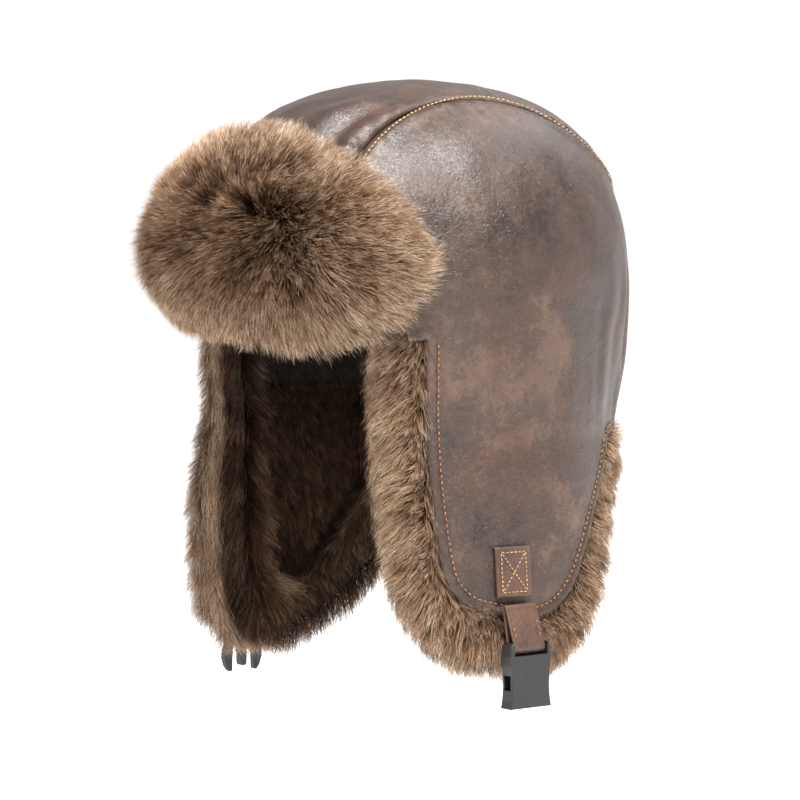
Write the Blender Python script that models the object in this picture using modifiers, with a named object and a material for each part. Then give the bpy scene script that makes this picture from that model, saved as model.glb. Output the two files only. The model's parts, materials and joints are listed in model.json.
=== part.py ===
# Trapper hat: leather crown and ear flaps over wadding, fur lining, a folded-up fur
# visor, fur trim round the flaps and nape, and a strap with a side-release buckle.
# Units are metres. The hat's front faces -Y, the wearer's left is +X, +Z is up and the
# origin is the middle of the head opening, level with the fold of the ear flaps.
import math

import bmesh
import bpy
import numpy as np
from mathutils import Matrix, Vector

# ---------------------------------------------------------------- driving dimensions
A = 0.103            # crown half width at its widest
B = 0.122            # crown half length at its widest
Z_WIDE = 0.064       # height of the widest ring above the fold
Z_TOP = 0.170        # outside top of the crown
N_DOME = 2.3         # how square the dome is in profile
TUCK_SIDE = 0.035    # how much the wall draws in down to the fold, at the sides
TUCK_BACK = 0.060    # and how much more at the elastic nape
SPLAY = 0.080        # how far the ear flaps lean out, metre per metre

T_LEATHER = 0.0013
WADDING = (0.0028, 0.0064)     # depth below the leather's outer face
ELASTIC = (0.0071, 0.0080)
LINING = (0.0087, 0.0150)
FLAP_WADDING = (0.0021, 0.0058)
FLAP_LINING = (0.0064, 0.0135)

GAP = 0.0006
Z_RIM_FRONT = 0.039  # lower edge of the crown behind the visor
Z_NAPE = -0.018      # lower edge of the crown at the nape
Y_SPLIT = 0.0815     # plane between the moving flaps and the fixed nape
T_TEMPLE = 60.0      # front edge of the side panels, degrees round from the front
TRIM_R = 0.0110

VISOR_END = 59.0     # half angle of the visor
VISOR_Z = (0.046, 0.142)
VISOR_DROP = 0.017   # how much lower the visor's ends are
VISOR_LEATHER = -0.0024
VISOR_HINGE = Vector((0.0, -0.1243, 0.0450))

STRAP_W = 0.020
STRAP_T = 0.0013
STRAP_Y = {"left": -0.018, "right": -0.026}
STRAP_HINGE = Vector((0.1090, 0.0, -0.0928))
BAR = Vector((0.1166, 0.0, -0.1155))
BAR_R = 0.0016
BUCKLE_T = 0.0084
THREAD_R = 0.00035

# ---------------------------------------------------------------- start clean
for ob in list(bpy.data.objects):
    bpy.data.objects.remove(ob, do_unlink=True)


def collection(name):
    c = bpy.data.collections.new(name)
    bpy.context.scene.collection.children.link(c)
    return c


HAT = collection("trapper_hat")
CUTTERS = collection("cutters")


def material(name, rgb, rough, metal=0.0):
    m = bpy.data.materials.new(name)
    m.use_nodes = True
    s = m.node_tree.nodes["Principled BSDF"]
    s.inputs["Base Color"].default_value = (*rgb, 1.0)
    s.inputs["Roughness"].default_value = rough
    s.inputs["Metallic"].default_value = metal
    return m


LEATHER = material("leather_brown", (0.15, 0.10, 0.08), 0.45)
FUR = material("fur_tan", (0.22, 0.14, 0.09), 0.9)
FUR_DARK = material("fur_lining", (0.03, 0.015, 0.01), 0.95)
WAD = material("wadding_white", (0.75, 0.74, 0.70), 0.95)
THREAD = material("thread_orange", (0.55, 0.25, 0.08), 0.7)
WEB = material("elastic_black", (0.03, 0.03, 0.03), 0.8)
PLASTIC = material("buckle_black", (0.045, 0.042, 0.042), 0.4)


# ---------------------------------------------------------------- the head form
def smooth(x):
    x = min(max(x, 0.0), 1.0)
    return x * x * (3 - 2 * x)


def wall_scale(t, z):
    """How far the wall draws in below the widest ring, at angle t and height z."""
    back = smooth((abs(t) - 100.0) / 60.0)
    down = min(max((Z_WIDE - z) / (Z_WIDE + 0.015), 0.0), 1.0)
    return 1.0 - (TUCK_SIDE + TUCK_BACK * back) * down ** 1.5


def wall(t, z, off):
    """A point on the wall: t degrees round from the front, off metres inwards."""
    s = wall_scale(t, z)
    back = smooth((abs(t) - 100.0) / 40.0)
    out = SPLAY * max(-z, 0.0) * (1.0 - back)
    r = math.radians(t)
    return Vector(((A * s + out - off) * math.sin(r), -(B * s - off) * math.cos(r), z))


def dome(t, phi, off):
    """A point on the dome, phi degrees up from the widest ring."""
    c = max(math.cos(math.radians(phi)), 0.0) ** (2 / N_DOME)
    s = math.sin(math.radians(phi)) ** (2 / N_DOME)
    r = math.radians(t)
    return Vector(((A - off) * c * math.sin(r), -(B - off) * c * math.cos(r),
                   Z_WIDE + (Z_TOP - Z_WIDE - off) * s))


DOME_ARC = 0.150


def crown(t, m, off):
    """A point on the crown at m metres of profile above (or below) the widest ring."""
    if m <= 0.0:
        return wall(t, Z_WIDE + m, off)
    return dome(t, 90.0 * m / DOME_ARC, off)


def plan_to_crown(x, y):
    """Angle and profile length of the dome point over a place in plan."""
    t = math.degrees(math.atan2(x / A, -y / B))
    rho = min(math.hypot(x / A, y / B), 1.0)
    phi = math.degrees(math.acos(rho ** (N_DOME / 2)))
    return t, DOME_ARC * phi / 90.0


def catmull(points, n):
    """n + 1 points evenly spread along a smooth curve through the given points."""
    p = np.array(points, float)
    p = np.vstack([2 * p[0] - p[1], p, 2 * p[-1] - p[-2]])
    out = []
    for i in range(1, len(p) - 2):
        for k in range(24):
            u = k / 24
            out.append(0.5 * (2 * p[i] + (p[i + 1] - p[i - 1]) * u
                              + (2 * p[i - 1] - 5 * p[i] + 4 * p[i + 1] - p[i + 2]) * u ** 2
                              + (3 * p[i] - p[i - 1] - 3 * p[i + 1] + p[i + 2]) * u ** 3))
    out.append(p[-2])
    out = np.array(out)
    return respace(out, n)


def respace(pts, n):
    pts = np.asarray(pts, float)
    d = np.concatenate([[0], np.cumsum(np.linalg.norm(np.diff(pts, axis=0), axis=1))])
    s = np.linspace(0, d[-1], n + 1)
    return np.stack([np.interp(s, d, pts[:, k]) for k in range(pts.shape[1])], axis=1)


# ---------------------------------------------------------------- object helpers
def add(name, mesh, mat, coll=None):
    ob = bpy.data.objects.new(name, mesh)
    (coll or HAT).objects.link(ob)
    mesh.materials.clear()
    mesh.materials.append(mat)
    return ob


def patch(name, mat, point, nu, nv, thick, wrap=False):
    """A sheet made from a grid laid over a surface, then given its thickness inwards."""
    bm = bmesh.new()
    bmesh.ops.create_grid(bm, x_segments=nu, y_segments=nv, size=0.5)
    for v in bm.verts:
        v.co = point(v.co.x + 0.5, v.co.y + 0.5)
    bm.normal_update()
    # the sheet's faces look outwards, away from the head
    f = sum((fc.normal.dot(fc.calc_center_median() - Vector((0, 0, 0.02))) * fc.calc_area()
             for fc in bm.faces))
    if f < 0:
        bmesh.ops.reverse_faces(bm, faces=bm.faces)
    mesh = bpy.data.meshes.new(name)
    bm.to_mesh(mesh)
    bm.free()
    mesh.shade_smooth()
    ob = add(name, mesh, mat)
    s = ob.modifiers.new("thickness", "SOLIDIFY")
    s.thickness = thick
    s.offset = -1.0
    s.use_even_offset = False
    return ob


def dome_shell(name, mat, off, thick, bottom, nt=36, nr=9):
    """A cap: the upper half of a sphere laid over the head form, then thickened."""
    bm = bmesh.new()
    bmesh.ops.create_uvsphere(bm, u_segments=nt, v_segments=2 * nr, radius=1.0)
    low = [v for v in bm.verts if v.co.z < -1e-4]
    bmesh.ops.delete(bm, geom=low, context="VERTS")
    for v in bm.verts:
        ang = math.degrees(math.atan2(v.co.x, -v.co.y))
        lift = math.degrees(math.asin(min(max(v.co.z, -1.0), 1.0))) / 90.0
        if lift > 0.999:
            v.co = Vector((0, 0, Z_TOP - off))
            continue
        mb = bottom(ang) - Z_WIDE
        # the lowest third of the rows lies on the wall, the rest on the dome
        k = 3.0 / nr
        m = mb * (1 - lift / k) if lift < k else DOME_ARC * ((lift - k) / (1 - k)) * 0.999
        v.co = crown(ang, m, off)
    bm.normal_update()
    if sum(f.normal.dot(f.calc_center_median() - Vector((0, 0, 0.05))) for f in bm.faces) < 0:
        bmesh.ops.reverse_faces(bm, faces=bm.faces)
    mesh = bpy.data.meshes.new(name)
    bm.to_mesh(mesh)
    bm.free()
    mesh.shade_smooth()
    ob = add(name, mesh, mat)
    s = ob.modifiers.new("thickness", "SOLIDIFY")
    s.thickness = thick
    s.offset = -1.0
    return ob


def tube(name, mat, pts, r, res=2):
    """A round tube with closed ends along a run of points."""
    cu = bpy.data.curves.new(name, "CURVE")
    cu.dimensions = "3D"
    cu.bevel_depth = r
    cu.bevel_resolution = res
    cu.use_fill_caps = True
    sp = cu.splines.new("POLY")
    sp.points.add(len(pts) - 1)
    for p, q in zip(sp.points, pts):
        p.co = (q[0], q[1], q[2], 1.0)
    cu.materials.append(mat)
    ob = bpy.data.objects.new(name, cu)
    HAT.objects.link(ob)
    return ob


def mirror_x(p):
    return Vector((-p[0], p[1], p[2]))


# ---------------------------------------------------------------- crown panels
ROWS = 30            # rows of the crown's panels, which share them along their seams
WALL_ROWS = 3        # and how many of them lie below the widest ring

# the seam on the wearer's left in plan, from the widest ring at the front over the top
# to the oval end at the back: (half width, k), where k is 1 at the ring and 0 midway
SEAM = [(0.0560, 1.0), (0.0555, 0.8), (0.0520, 0.40), (0.0500, 0.0), (0.0535, -0.25),
        (0.0585, -0.50), (0.0570, -0.70), (0.0480, -0.83), (0.0340, -0.905),
        (0.0180, -0.943), (0.0018, -0.955)]


def seam_plan():
    pts = []
    for x, k in catmull(SEAM, 200):
        pts.append((x, -k * B * math.sqrt(1 - (x / A) ** 2)))
    pts = np.array(pts)
    z = np.array([crown(*plan_to_crown(x, y), 0.0).z for x, y in pts])
    line = np.column_stack([pts, z])
    d = np.concatenate([[0], np.cumsum(np.linalg.norm(np.diff(line, axis=0), axis=1))])
    s = np.linspace(0, d[-1], ROWS - WALL_ROWS + 1)
    out = np.stack([np.interp(s, d, pts[:, 0]), np.interp(s, d, pts[:, 1])], axis=1)
    tan = np.gradient(out, axis=0)
    tan /= np.linalg.norm(tan, axis=1)[:, None]
    return out, np.stack([tan[:, 1], -tan[:, 0]], axis=1)


PLAN, PLAN_NORMAL = seam_plan()
T_SEAM = math.degrees(math.asin(0.056 / A))   # where the seams meet the widest ring


def seam_at(q, gap):
    """Plan point at q of the seam's run over the dome, gap metres to its outer side."""
    x = q * (len(PLAN) - 1)
    i = min(int(x), len(PLAN) - 2)
    f = x - i
    p = PLAN[i] * (1 - f) + PLAN[i + 1] * f
    n = PLAN_NORMAL[i] * (1 - f) + PLAN_NORMAL[i + 1] * f
    p = p + n * gap
    return max(float(p[0]), 0.0007), float(p[1])


def centre_panel(u, v):
    """u across, v from the front rim over the top to the oval end at the back."""
    wall_part = WALL_ROWS / ROWS
    if v < wall_part - 1e-6:
        q = v / wall_part
        z = Z_RIM_FRONT + (Z_WIDE - Z_RIM_FRONT) * q
        return wall((2 * u - 1) * (T_SEAM - 0.35), z, 0.0)
    q = (v - wall_part) / (1 - wall_part)
    w, y = seam_at(q, -0.0006)
    k = -y / (B * math.sqrt(1 - (w / A) ** 2))
    x = (2 * u - 1) * w
    t, m = plan_to_crown(x, -min(k, 1.0) * B * math.sqrt(1 - (x / A) ** 2))
    return crown(t, m, 0.0)


def crown_bottom(t, off=0.0):
    """Height of the crown's lower edge all the way round."""
    a = abs(t)
    first = 58.6 if off <= 0.0 else 62.0        # the layers behind clear the trim
    if a < first + 1e-6:
        return Z_RIM_FRONT
    if a < first + 1.0:
        return Z_RIM_FRONT + (GAP - Z_RIM_FRONT) * (a - first)
    y = wall(a, 0.0, off).y
    return GAP + (Z_NAPE - GAP) * smooth((y - Y_SPLIT - 0.0012) / 0.006)


def side_panel(sign):
    """u from the front corner round to the centre back, v from the lower edge up."""
    back = 180.0 - 0.40
    part = WALL_ROWS / ROWS
    first = T_SEAM + 1.2
    # columns fall on the corners at the temple and where the nape begins
    ang = np.linspace(120.0, 170.0, 501)
    ys = [wall(float(t), 0.0, 0.0).y for t in ang]
    n0, n1 = float(np.interp(Y_SPLIT + 0.0012, ys, ang)), float(np.interp(Y_SPLIT + 0.0076, ys, ang))
    lower = np.concatenate([np.linspace(first, 46.0, WALL_ROWS + 1), [50.2, 54.4, 58.6, 59.6],
                            np.linspace(59.6, n0, 14)[1:], np.linspace(n0, n1, 3)[1:],
                            np.linspace(n1, back, 9)[1:]])
    assert len(lower) == ROWS + 1

    def point(u, v):
        if u < part - 1e-6:
            q = u / part
            ts, ms = T_SEAM + 0.35, (Z_RIM_FRONT + 0.006 - Z_WIDE) * (1 - q)
        else:
            q = (u - part) / (1 - part)
            ts, ms = plan_to_crown(*seam_at(q, 0.0006))
        tb = float(np.interp(u * ROWS, range(ROWS + 1), lower))
        mb = crown_bottom(tb) - Z_WIDE
        return crown(sign * (tb + (ts - tb) * v ** 2.2), mb + (ms - mb) * v, 0.0)
    return point


patch("crown_centre_panel", LEATHER, centre_panel, 6, ROWS, T_LEATHER)
for side, sign in (("left", 1), ("right", -1)):
    patch("crown_side_panel_" + side, LEATHER, side_panel(sign), ROWS, 6, T_LEATHER)

dome_shell("crown_wadding", WAD, WADDING[0], WADDING[1] - WADDING[0],
           lambda t: crown_bottom(t, WADDING[0]) + 0.0006)
dome_shell("crown_lining", FUR_DARK, LINING[0], LINING[1] - LINING[0],
           lambda t: crown_bottom(t, LINING[0]) + 0.0008)

# elastic tape that gathers the nape, held between the wadding and the lining
patch("nape_elastic", WEB,
      lambda u, v: wall(148.0 + 64.0 * u, 0.006 + 0.012 * v, ELASTIC[0]),
      12, 1, ELASTIC[1] - ELASTIC[0])


# topstitching beside both crown seams, one unbroken thread each
def seam_thread(sign, gap):
    pts = []
    for i in range(4):
        z = 0.040 + (Z_WIDE - 0.040) * i / 4
        pts.append(wall(sign * (T_SEAM + math.degrees(gap / 0.105)), z, -0.0008))
    for i in range(36):
        t, m = plan_to_crown(*seam_at(0.985 * i / 35, gap))
        pts.append(crown(sign * t, m, -0.0008))
    return pts


for side, sign in (("left", 1), ("right", -1)):
    tube("crown_seam_thread_" + side, THREAD, seam_thread(sign, 0.0042), THREAD_R, 0)

# fur edging in front of the ears, above the fold, and round the nape
for side, sign in (("left", 1), ("right", -1)):
    path = [wall(sign * 52.2, GAP + 0.0362 * i / 4, 0.0075) for i in range(5)]
    tube("temple_trim_" + side, FUR, path, TRIM_R, 2)

nape = []
for i in range(21):
    t = 149.0 + 62.0 * i / 20
    nape.append(wall(t, Z_NAPE - TRIM_R - 0.0012, 0.0035))
nape = [p for p in nape if p.y > Y_SPLIT + 0.0098]
tube("nape_trim", FUR, nape, TRIM_R, 2)


# ---------------------------------------------------------------- visor
def visor_bottom(t):
    return VISOR_Z[0] - VISOR_DROP * smooth(abs(t) / VISOR_END) ** 1.5


def visor_top(t):
    return VISOR_Z[1] - 0.014 * (abs(t) / VISOR_END) ** 2.0


def visor_wall(t, z, off):
    """The visor stands up past the widest ring, clear of the dome."""
    p = wall(t, min(z, Z_WIDE), off)
    lean = max(z - Z_WIDE, 0.0)
    q = Vector((p.x, p.y, z))
    n = Vector((math.sin(math.radians(t)), -math.cos(math.radians(t)), 0))
    # it leans back with the dome, a little
    return q - n * (lean ** 2) * 1.1


def visor_sheet(off, inset):
    def point(u, v):
        a = (2 * u - 1)
        w = 2 * v - 1
        # rounded corners
        e = VISOR_END - math.degrees(inset / 0.115)
        t = e * a * (1 - 0.16 * max(abs(w) - 0.35, 0) ** 2 / 0.4225)
        lo, hi = visor_bottom(t) + inset, visor_top(t) - inset
        mid, half = (lo + hi) / 2, (hi - lo) / 2
        z = mid + half * w * (1 - 0.20 * max(abs(a) - 0.6, 0) ** 2 / 0.16)
        return visor_wall(t, z, off)
    return point


patch("visor_leather", LEATHER, visor_sheet(VISOR_LEATHER - T_LEATHER, 0.0), 18, 6, T_LEATHER)
patch("visor_wadding", WAD, visor_sheet(-0.0079, 0.002), 18, 6, 0.0034)


def visor_fur():
    """A long cushion of fur bent round the front, drawn out from its flat back."""
    bm = bmesh.new()
    bmesh.ops.create_grid(bm, x_segments=20, y_segments=7, size=0.5)
    uv = {v: (v.co.x * 2, v.co.y * 2) for v in bm.verts}
    new = bmesh.ops.extrude_face_region(bm, geom=bm.faces[:])["geom"]
    front = [g for g in new if isinstance(g, bmesh.types.BMVert)]
    for v in front:
        uv[v] = (v.co.x * 2, v.co.y * 2)
    sheet = visor_sheet(-0.0090, 0.0008)
    for v, (a, w) in uv.items():
        back = sheet((a + 1) / 2, (w + 1) / 2)
        if v in front:
            puff = 0.0035 + 0.0125 * (1 - abs(a) ** 4) * (1 - abs(w) ** 3)
            t = math.atan2(back.x / A, -back.y / B)
            back = back + Vector((math.sin(t), -math.cos(t), 0.0)) * puff
        v.co = back
    bmesh.ops.recalc_face_normals(bm, faces=bm.faces)
    if bm.calc_volume(signed=True) < 0:
        bmesh.ops.reverse_faces(bm, faces=bm.faces)
    mesh = bpy.data.meshes.new("visor_fur")
    bm.to_mesh(mesh)
    bm.free()
    mesh.shade_smooth()
    return add("visor_fur", mesh, FUR)


visor_fur()

# ---------------------------------------------------------------- ear flaps
# arc length round the wall, measured from straight out to the side
_t = np.linspace(20.0, 175.0, 622)
_p = np.array([wall(float(a), -0.016, 0.0)[:2] for a in _t])
_s = np.concatenate([[0], np.cumsum(np.linalg.norm(np.diff(_p, axis=0), axis=1))])
_s -= np.interp(90.0, _t, _s)


def arc_to_angle(a):
    return float(np.interp(a, _s, _t))


def flap_point(sign, a, z, off):
    p = wall(arc_to_angle(a), z, off)
    return Vector((sign * p.x, p.y, p.z))


# outline of the flap's leather from the fold at the temple, down the front, round the
# lower corner and up the slanting back edge to the nape: (arc, height)
OUTLINE = [(-0.061, -0.0006), (-0.0605, -0.030), (-0.058, -0.062), (-0.054, -0.083),
           (-0.044, -0.0955), (-0.028, -0.101), (-0.008, -0.1045), (0.010, -0.1005),
           (0.0235, -0.090), (0.034, -0.076), (0.046, -0.057), (0.062, -0.035),
           (0.0735, -0.0185), (0.0890, -0.0165)]
EDGE = catmull(OUTLINE, 160)


def outset(line, d):
    """The line moved d to its outside (to the right of its run is outwards)."""
    tan = np.gradient(line, axis=0)
    tan /= np.linalg.norm(tan, axis=1)[:, None]
    nor = np.stack([tan[:, 1], -tan[:, 0]], axis=1)       # to the right of the run
    q = line + nor * d
    keep = []
    for i, p in enumerate(q):
        near = np.min(np.linalg.norm(line - p, axis=1))
        if near > abs(d) * 0.985:
            keep.append(p)
    return np.array(keep)


def side_of(line):
    mid = line[len(line) // 2]
    return mid


def flap_sheet(sign, off, inset, rear):
    """A patch that fills the outline, drawn in by inset, as far back as rear."""
    edge = EDGE.copy()
    if inset > 0:
        edge = outset(EDGE, -OUT * inset)
    edge = edge[edge[:, 0] < rear]
    a0 = edge[0, 0]
    edge = np.vstack([[a0, -GAP], edge[edge[:, 1] < -0.004], ])
    last = edge[-1]
    edge = respace(edge, 120)
    n_front = 50                                   # the front edge's share of the run
    front, low = respace(edge[:n_front + 1], 60), respace(edge[n_front:], 120)
    top = np.array([[a0, -GAP], [last[0], -GAP]])

    def point(u, v):
        # v = 0 at the fold; u = 0 along the front edge
        def at(line, s):
            x = s * (len(line) - 1)
            i = min(int(x), len(line) - 2)
            return line[i] * (1 - x + i) + line[i + 1] * (x - i)
        c0, c1 = top[0] * (1 - u) + top[1] * u, at(low, u)
        d0, d1 = at(front, v), top[1] * (1 - v) + low[-1] * v
        p00, p10, p01, p11 = top[0], top[1], low[0], low[-1]
        q = (c0 * (1 - v) + c1 * v + d0 * (1 - u) + d1 * u
             - p00 * (1 - u) * (1 - v) - p10 * u * (1 - v)
             - p01 * (1 - u) * v - p11 * u * v)
        return flap_point(sign, float(q[0]), float(q[1]), off)
    return point


# which side of the outline's run is outside the flap
_mid, _nx = EDGE[80], EDGE[81]
_n = np.array([(_nx - _mid)[1], -(_nx - _mid)[0]])
OUT = 1.0 if (_mid + _n * 0.5 - np.array([0.0, -0.04]))[1] < (_mid - np.array([0.0, -0.04]))[1] else -1.0

for side, sign in (("left", 1), ("right", -1)):
    patch("flap_leather_" + side, LEATHER, flap_sheet(sign, 0.0, 0.0, 0.0885), 13, 8, T_LEATHER)
    patch("flap_wadding_" + side, WAD,
          flap_sheet(sign, FLAP_WADDING[0], 0.0012, 0.072), 10, 7,
          FLAP_WADDING[1] - FLAP_WADDING[0])
    patch("flap_lining_" + side, FUR_DARK,
          flap_sheet(sign, FLAP_LINING[0], 0.0012, 0.070), 10, 7,
          FLAP_LINING[1] - FLAP_LINING[0])

    # fur edging round the flap
    run = outset(EDGE, OUT * (TRIM_R + 0.0012))
    run = respace(run, 200)
    run[:, 1] = np.minimum(run[:, 1], -GAP)
    pts = [flap_point(1, float(a), float(z), 0.0075) for a, z in run]
    keep = [p for p in pts if p.y < Y_SPLIT - 0.0095]
    line = respace(np.array([list(p) for p in keep]), 28)
    top = line[0].copy()
    line[0, 2] = -GAP
    line[1, :2] = line[0, :2]
    tube("flap_trim_" + side, FUR, [(sign * p[0], p[1], p[2]) for p in line], TRIM_R, 2)

    # the stitch line just inside the turned edge
    run = outset(EDGE, -OUT * 0.0062)
    run = run[(run[:, 0] < 0.084) & (run[:, 1] < -0.002)]
    run = respace(run, 34)
    tube("flap_edge_thread_" + side, THREAD,
         [flap_point(sign, float(a), float(z), -0.0008) for a, z in run], THREAD_R, 0)

    # strap tab sewn flat to the flap, with its boxed cross of stitching
    y0 = STRAP_Y[side]

    def tab_point(dy, z, off, s=sign, yc=y0):
        # the tab lies on the flap's surface at yc + dy
        t = 90.0
        for _ in range(6):
            t = math.degrees(math.acos(min(max(-(yc + dy) / (B * wall_scale(t, z) - off), -1), 1)))
        p = wall(t, z, off)
        return Vector((s * p.x, p.y, p.z))

    patch("strap_tab_" + side, LEATHER,
          lambda u, v: tab_point((u - 0.5) * STRAP_W, -0.0912 + 0.0255 * v, -0.0024),
          4, 4, 0.0016)
    h, w = 0.0105, 0.0078
    zc = -0.0785
    cross = [(-w, h), (w, h), (w, -h), (-w, -h), (-w, h - 0.0016),
             (w - 0.0016, -h + 0.0016), (-w + 0.0016, -h + 0.0016), (w - 0.0016, h - 0.0016)]
    pts = []
    for j in range(len(cross) - 1):
        n = 6 if j == 6 else 2
        for i in range(n):
            f = i / n
            dy = cross[j][0] * (1 - f) + cross[j + 1][0] * f
            dz = cross[j][1] * (1 - f) + cross[j + 1][1] * f
            lift = 0.0011 * max(0.0, 1 - abs(f - 0.5) / 0.34) if j == 6 else 0.0
            pts.append(tab_point(dy, zc + dz, -0.0024 - 0.0008 - lift))
    tube("strap_stitch_" + side, THREAD, pts, THREAD_R, 0)


# ---------------------------------------------------------------- straps and buckles
def place(ob, side, origin):
    """Put a piece drawn about its own joint at its place on the left or right side."""
    ob.location = ((1 if side == "left" else -1) * origin.x, STRAP_Y[side], origin.z)
    return ob


def strap_loop(side):
    """The strap's folded end: a flat band closed on itself round the buckle's bar."""
    sign = 1 if side == "left" else -1
    top = Vector((0.0022, 0, -0.0014 - 0.0016))
    bar = BAR - STRAP_HINGE
    rb = BAR_R + 0.0003 + STRAP_T / 2
    rt = 0.00095
    axis = (bar - top)
    length = math.hypot(axis.x, axis.z)
    d = Vector((axis.x, 0, axis.z)) / length
    n = Vector((-d.z, 0, d.x))
    lean = math.asin((rb - rt) / length)
    ring = []
    for i in range(9):                                   # round the bar
        g = math.pi / 2 - lean - (math.pi - 2 * lean) * i / 8 + 0.0
        g = (math.pi / 2 + lean) * (1 - i / 4)
        ring.append(bar + d * (rb * math.cos(g)) + n * (rb * math.sin(g)))
    for i in range(5):                                   # over the sewn end
        g = math.pi + (math.pi / 2 - lean) * (1 - i / 2) * -1
        g = -(math.pi / 2 + lean) - (math.pi - 2 * lean) * i / 4
        ring.append(top + d * (rt * math.cos(g)) + n * (rt * math.sin(g)))
    bm = bmesh.new()
    lo = [bm.verts.new((sign * p.x, -STRAP_W / 2, p.z)) for p in ring]
    edges = [bm.edges.new((lo[i], lo[(i + 1) % len(lo)])) for i in range(len(lo))]
    new = bmesh.ops.extrude_edge_only(bm, edges=edges)["geom"]
    bmesh.ops.translate(bm, verts=[g for g in new if isinstance(g, bmesh.types.BMVert)],
                        vec=(0, STRAP_W, 0))
    bmesh.ops.recalc_face_normals(bm, faces=bm.faces)
    mesh = bpy.data.meshes.new("strap_loop_" + side)
    bm.to_mesh(mesh)
    bm.free()
    ob = add("strap_loop_" + side, mesh, LEATHER)
    s = ob.modifiers.new("thickness", "SOLIDIFY")
    s.thickness = STRAP_T
    s.offset = 0.0
    s.use_even_offset = True
    return place(ob, side, STRAP_HINGE)


def plate(name, outline, thick, coll=None, mat=PLASTIC, bevel=0.0):
    """A flat piece: an outline in the Y-Z plane, drawn out along X."""
    cu = bpy.data.curves.new(name, "CURVE")
    cu.dimensions = "2D"
    cu.fill_mode = "BOTH"
    cu.extrude = thick / 2
    sp = cu.splines.new("POLY")
    sp.points.add(len(outline) - 1)
    for p, q in zip(sp.points, outline):
        p.co = (q[0], q[1], 0, 1)
    sp.use_cyclic_u = True
    tmp = bpy.data.objects.new(name + "_c", cu)
    HAT.objects.link(tmp)
    dg = bpy.context.evaluated_depsgraph_get()
    mesh = bpy.data.meshes.new_from_object(tmp.evaluated_get(dg))
    bpy.data.objects.remove(tmp, do_unlink=True)
    bm = bmesh.new()
    bm.from_mesh(mesh)
    bmesh.ops.remove_doubles(bm, verts=bm.verts, dist=1e-6)
    # the outline's own X becomes Y, its Y becomes Z and its thickness X
    bm.transform(Matrix(((0, 0, 1, 0), (1, 0, 0, 0), (0, 1, 0, 0), (0, 0, 0, 1))))
    bmesh.ops.recalc_face_normals(bm, faces=bm.faces)
    if bm.calc_volume(signed=True) < 0:
        bmesh.ops.reverse_faces(bm, faces=bm.faces)
    bm.to_mesh(mesh)
    bm.free()
    mesh.name = name
    ob = add(name, mesh, mat, coll)
    if bevel:
        b = ob.modifiers.new("edges", "BEVEL")
        b.width = bevel
        b.segments = 1
        b.limit_method = "ANGLE"
        b.angle_limit = math.radians(50)
    return ob


def cutter(name, size, centre):
    bpy.ops.mesh.primitive_cube_add(size=1.0)
    ob = bpy.context.object
    ob.name = name
    for c in list(ob.users_collection):
        c.objects.unlink(ob)
    CUTTERS.objects.link(ob)
    ob.data.transform(Matrix.Diagonal((*size, 1.0)))
    ob.data.transform(Matrix.Translation(centre))
    ob.hide_render = True
    ob.display_type = "WIRE"
    return ob


def bar_cylinder(name, length, r=BAR_R):
    bpy.ops.mesh.primitive_cylinder_add(vertices=12, radius=r, depth=length)
    ob = bpy.context.object
    ob.name = name
    for c in list(ob.users_collection):
        c.objects.unlink(ob)
    CUTTERS.objects.link(ob)
    ob.data.transform(Matrix.Rotation(math.pi / 2, 4, "X"))
    ob.hide_render = True
    ob.display_type = "WIRE"
    return ob


def boolean(ob, other, op):
    m = ob.modifiers.new(other.name, "BOOLEAN")
    m.operation = op
    m.object = other
    m.solver = "EXACT"
    other.parent = ob            # the cutter goes where its piece goes


def symmetric(half):
    return half + [(-y, z) for y, z in reversed(half)]


SLOT = 0.0212        # clear width for the strap
# the female half hangs on its bar and opens downwards
female = plate("buckle_female", symmetric([
    (0.0118, 0.0027), (0.0128, 0.0012), (0.0133, -0.0040), (0.0131, -0.0085),
    (0.0122, -0.0130), (0.0121, -0.0200), (0.0127, -0.0265), (0.0135, -0.0305)]),
    BUCKLE_T, bevel=0.0006)
boolean(female, cutter("cut_strap_f", (0.02, SLOT, 0.0077), (0, 0, -0.0000)), "DIFFERENCE")
boolean(female, cutter("cut_socket_f", (0.0054, 0.0205, 0.0225), (0, 0, -0.0210)), "DIFFERENCE")
boolean(female, cutter("cut_windows_f", (0.0050, 0.04, 0.0075), (0, 0, -0.0175)), "DIFFERENCE")
boolean(female, bar_cylinder("bar_f", 0.0240), "UNION")
place(female, "left", BAR)

# the male half: a plate with a fixed middle guide
male = plate("buckle_male", symmetric([
    (0.0118, 0.0027), (0.0128, 0.0012), (0.0132, -0.0040), (0.0130, -0.0105),
    (0.0121, -0.0119), (0.0030, -0.0122), (0.0021, -0.0131), (0.0019, -0.0330),
    (0.0012, -0.0345)]),
    0.0046)
boolean(male, cutter("cut_strap_m", (0.02, SLOT, 0.0077), (0, 0, -0.0000)), "DIFFERENCE")
boolean(male, bar_cylinder("bar_m", 0.0240), "UNION")
place(male, "right", BAR)

# its two sprung prongs, barbed on the outside
PRONG_ROOT = (0.0084, -0.0140)
for which, s in (("front", -1), ("rear", 1)):
    out = [(0.0068, -0.0130), (0.0100, -0.0130), (0.0102, -0.0200), (0.0122, -0.0255),
           (0.0126, -0.0300), (0.0112, -0.0345), (0.0088, -0.0375), (0.0072, -0.0370),
           (0.0070, -0.0300), (0.0068, -0.0220)]
    out = [(s * y, z) for y, z in out]
    prong = plate("buckle_prong_" + which, out, 0.0040, bevel=0.0004)
    place(prong, "right", BAR)

for side in ("left", "right"):
    strap_loop(side)
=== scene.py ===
import json
import math

import bmesh
import bpy
import numpy as np
from mathutils import Matrix, Vector, kdtree
from mathutils.geometry import delaunay_2d_cdt

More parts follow.
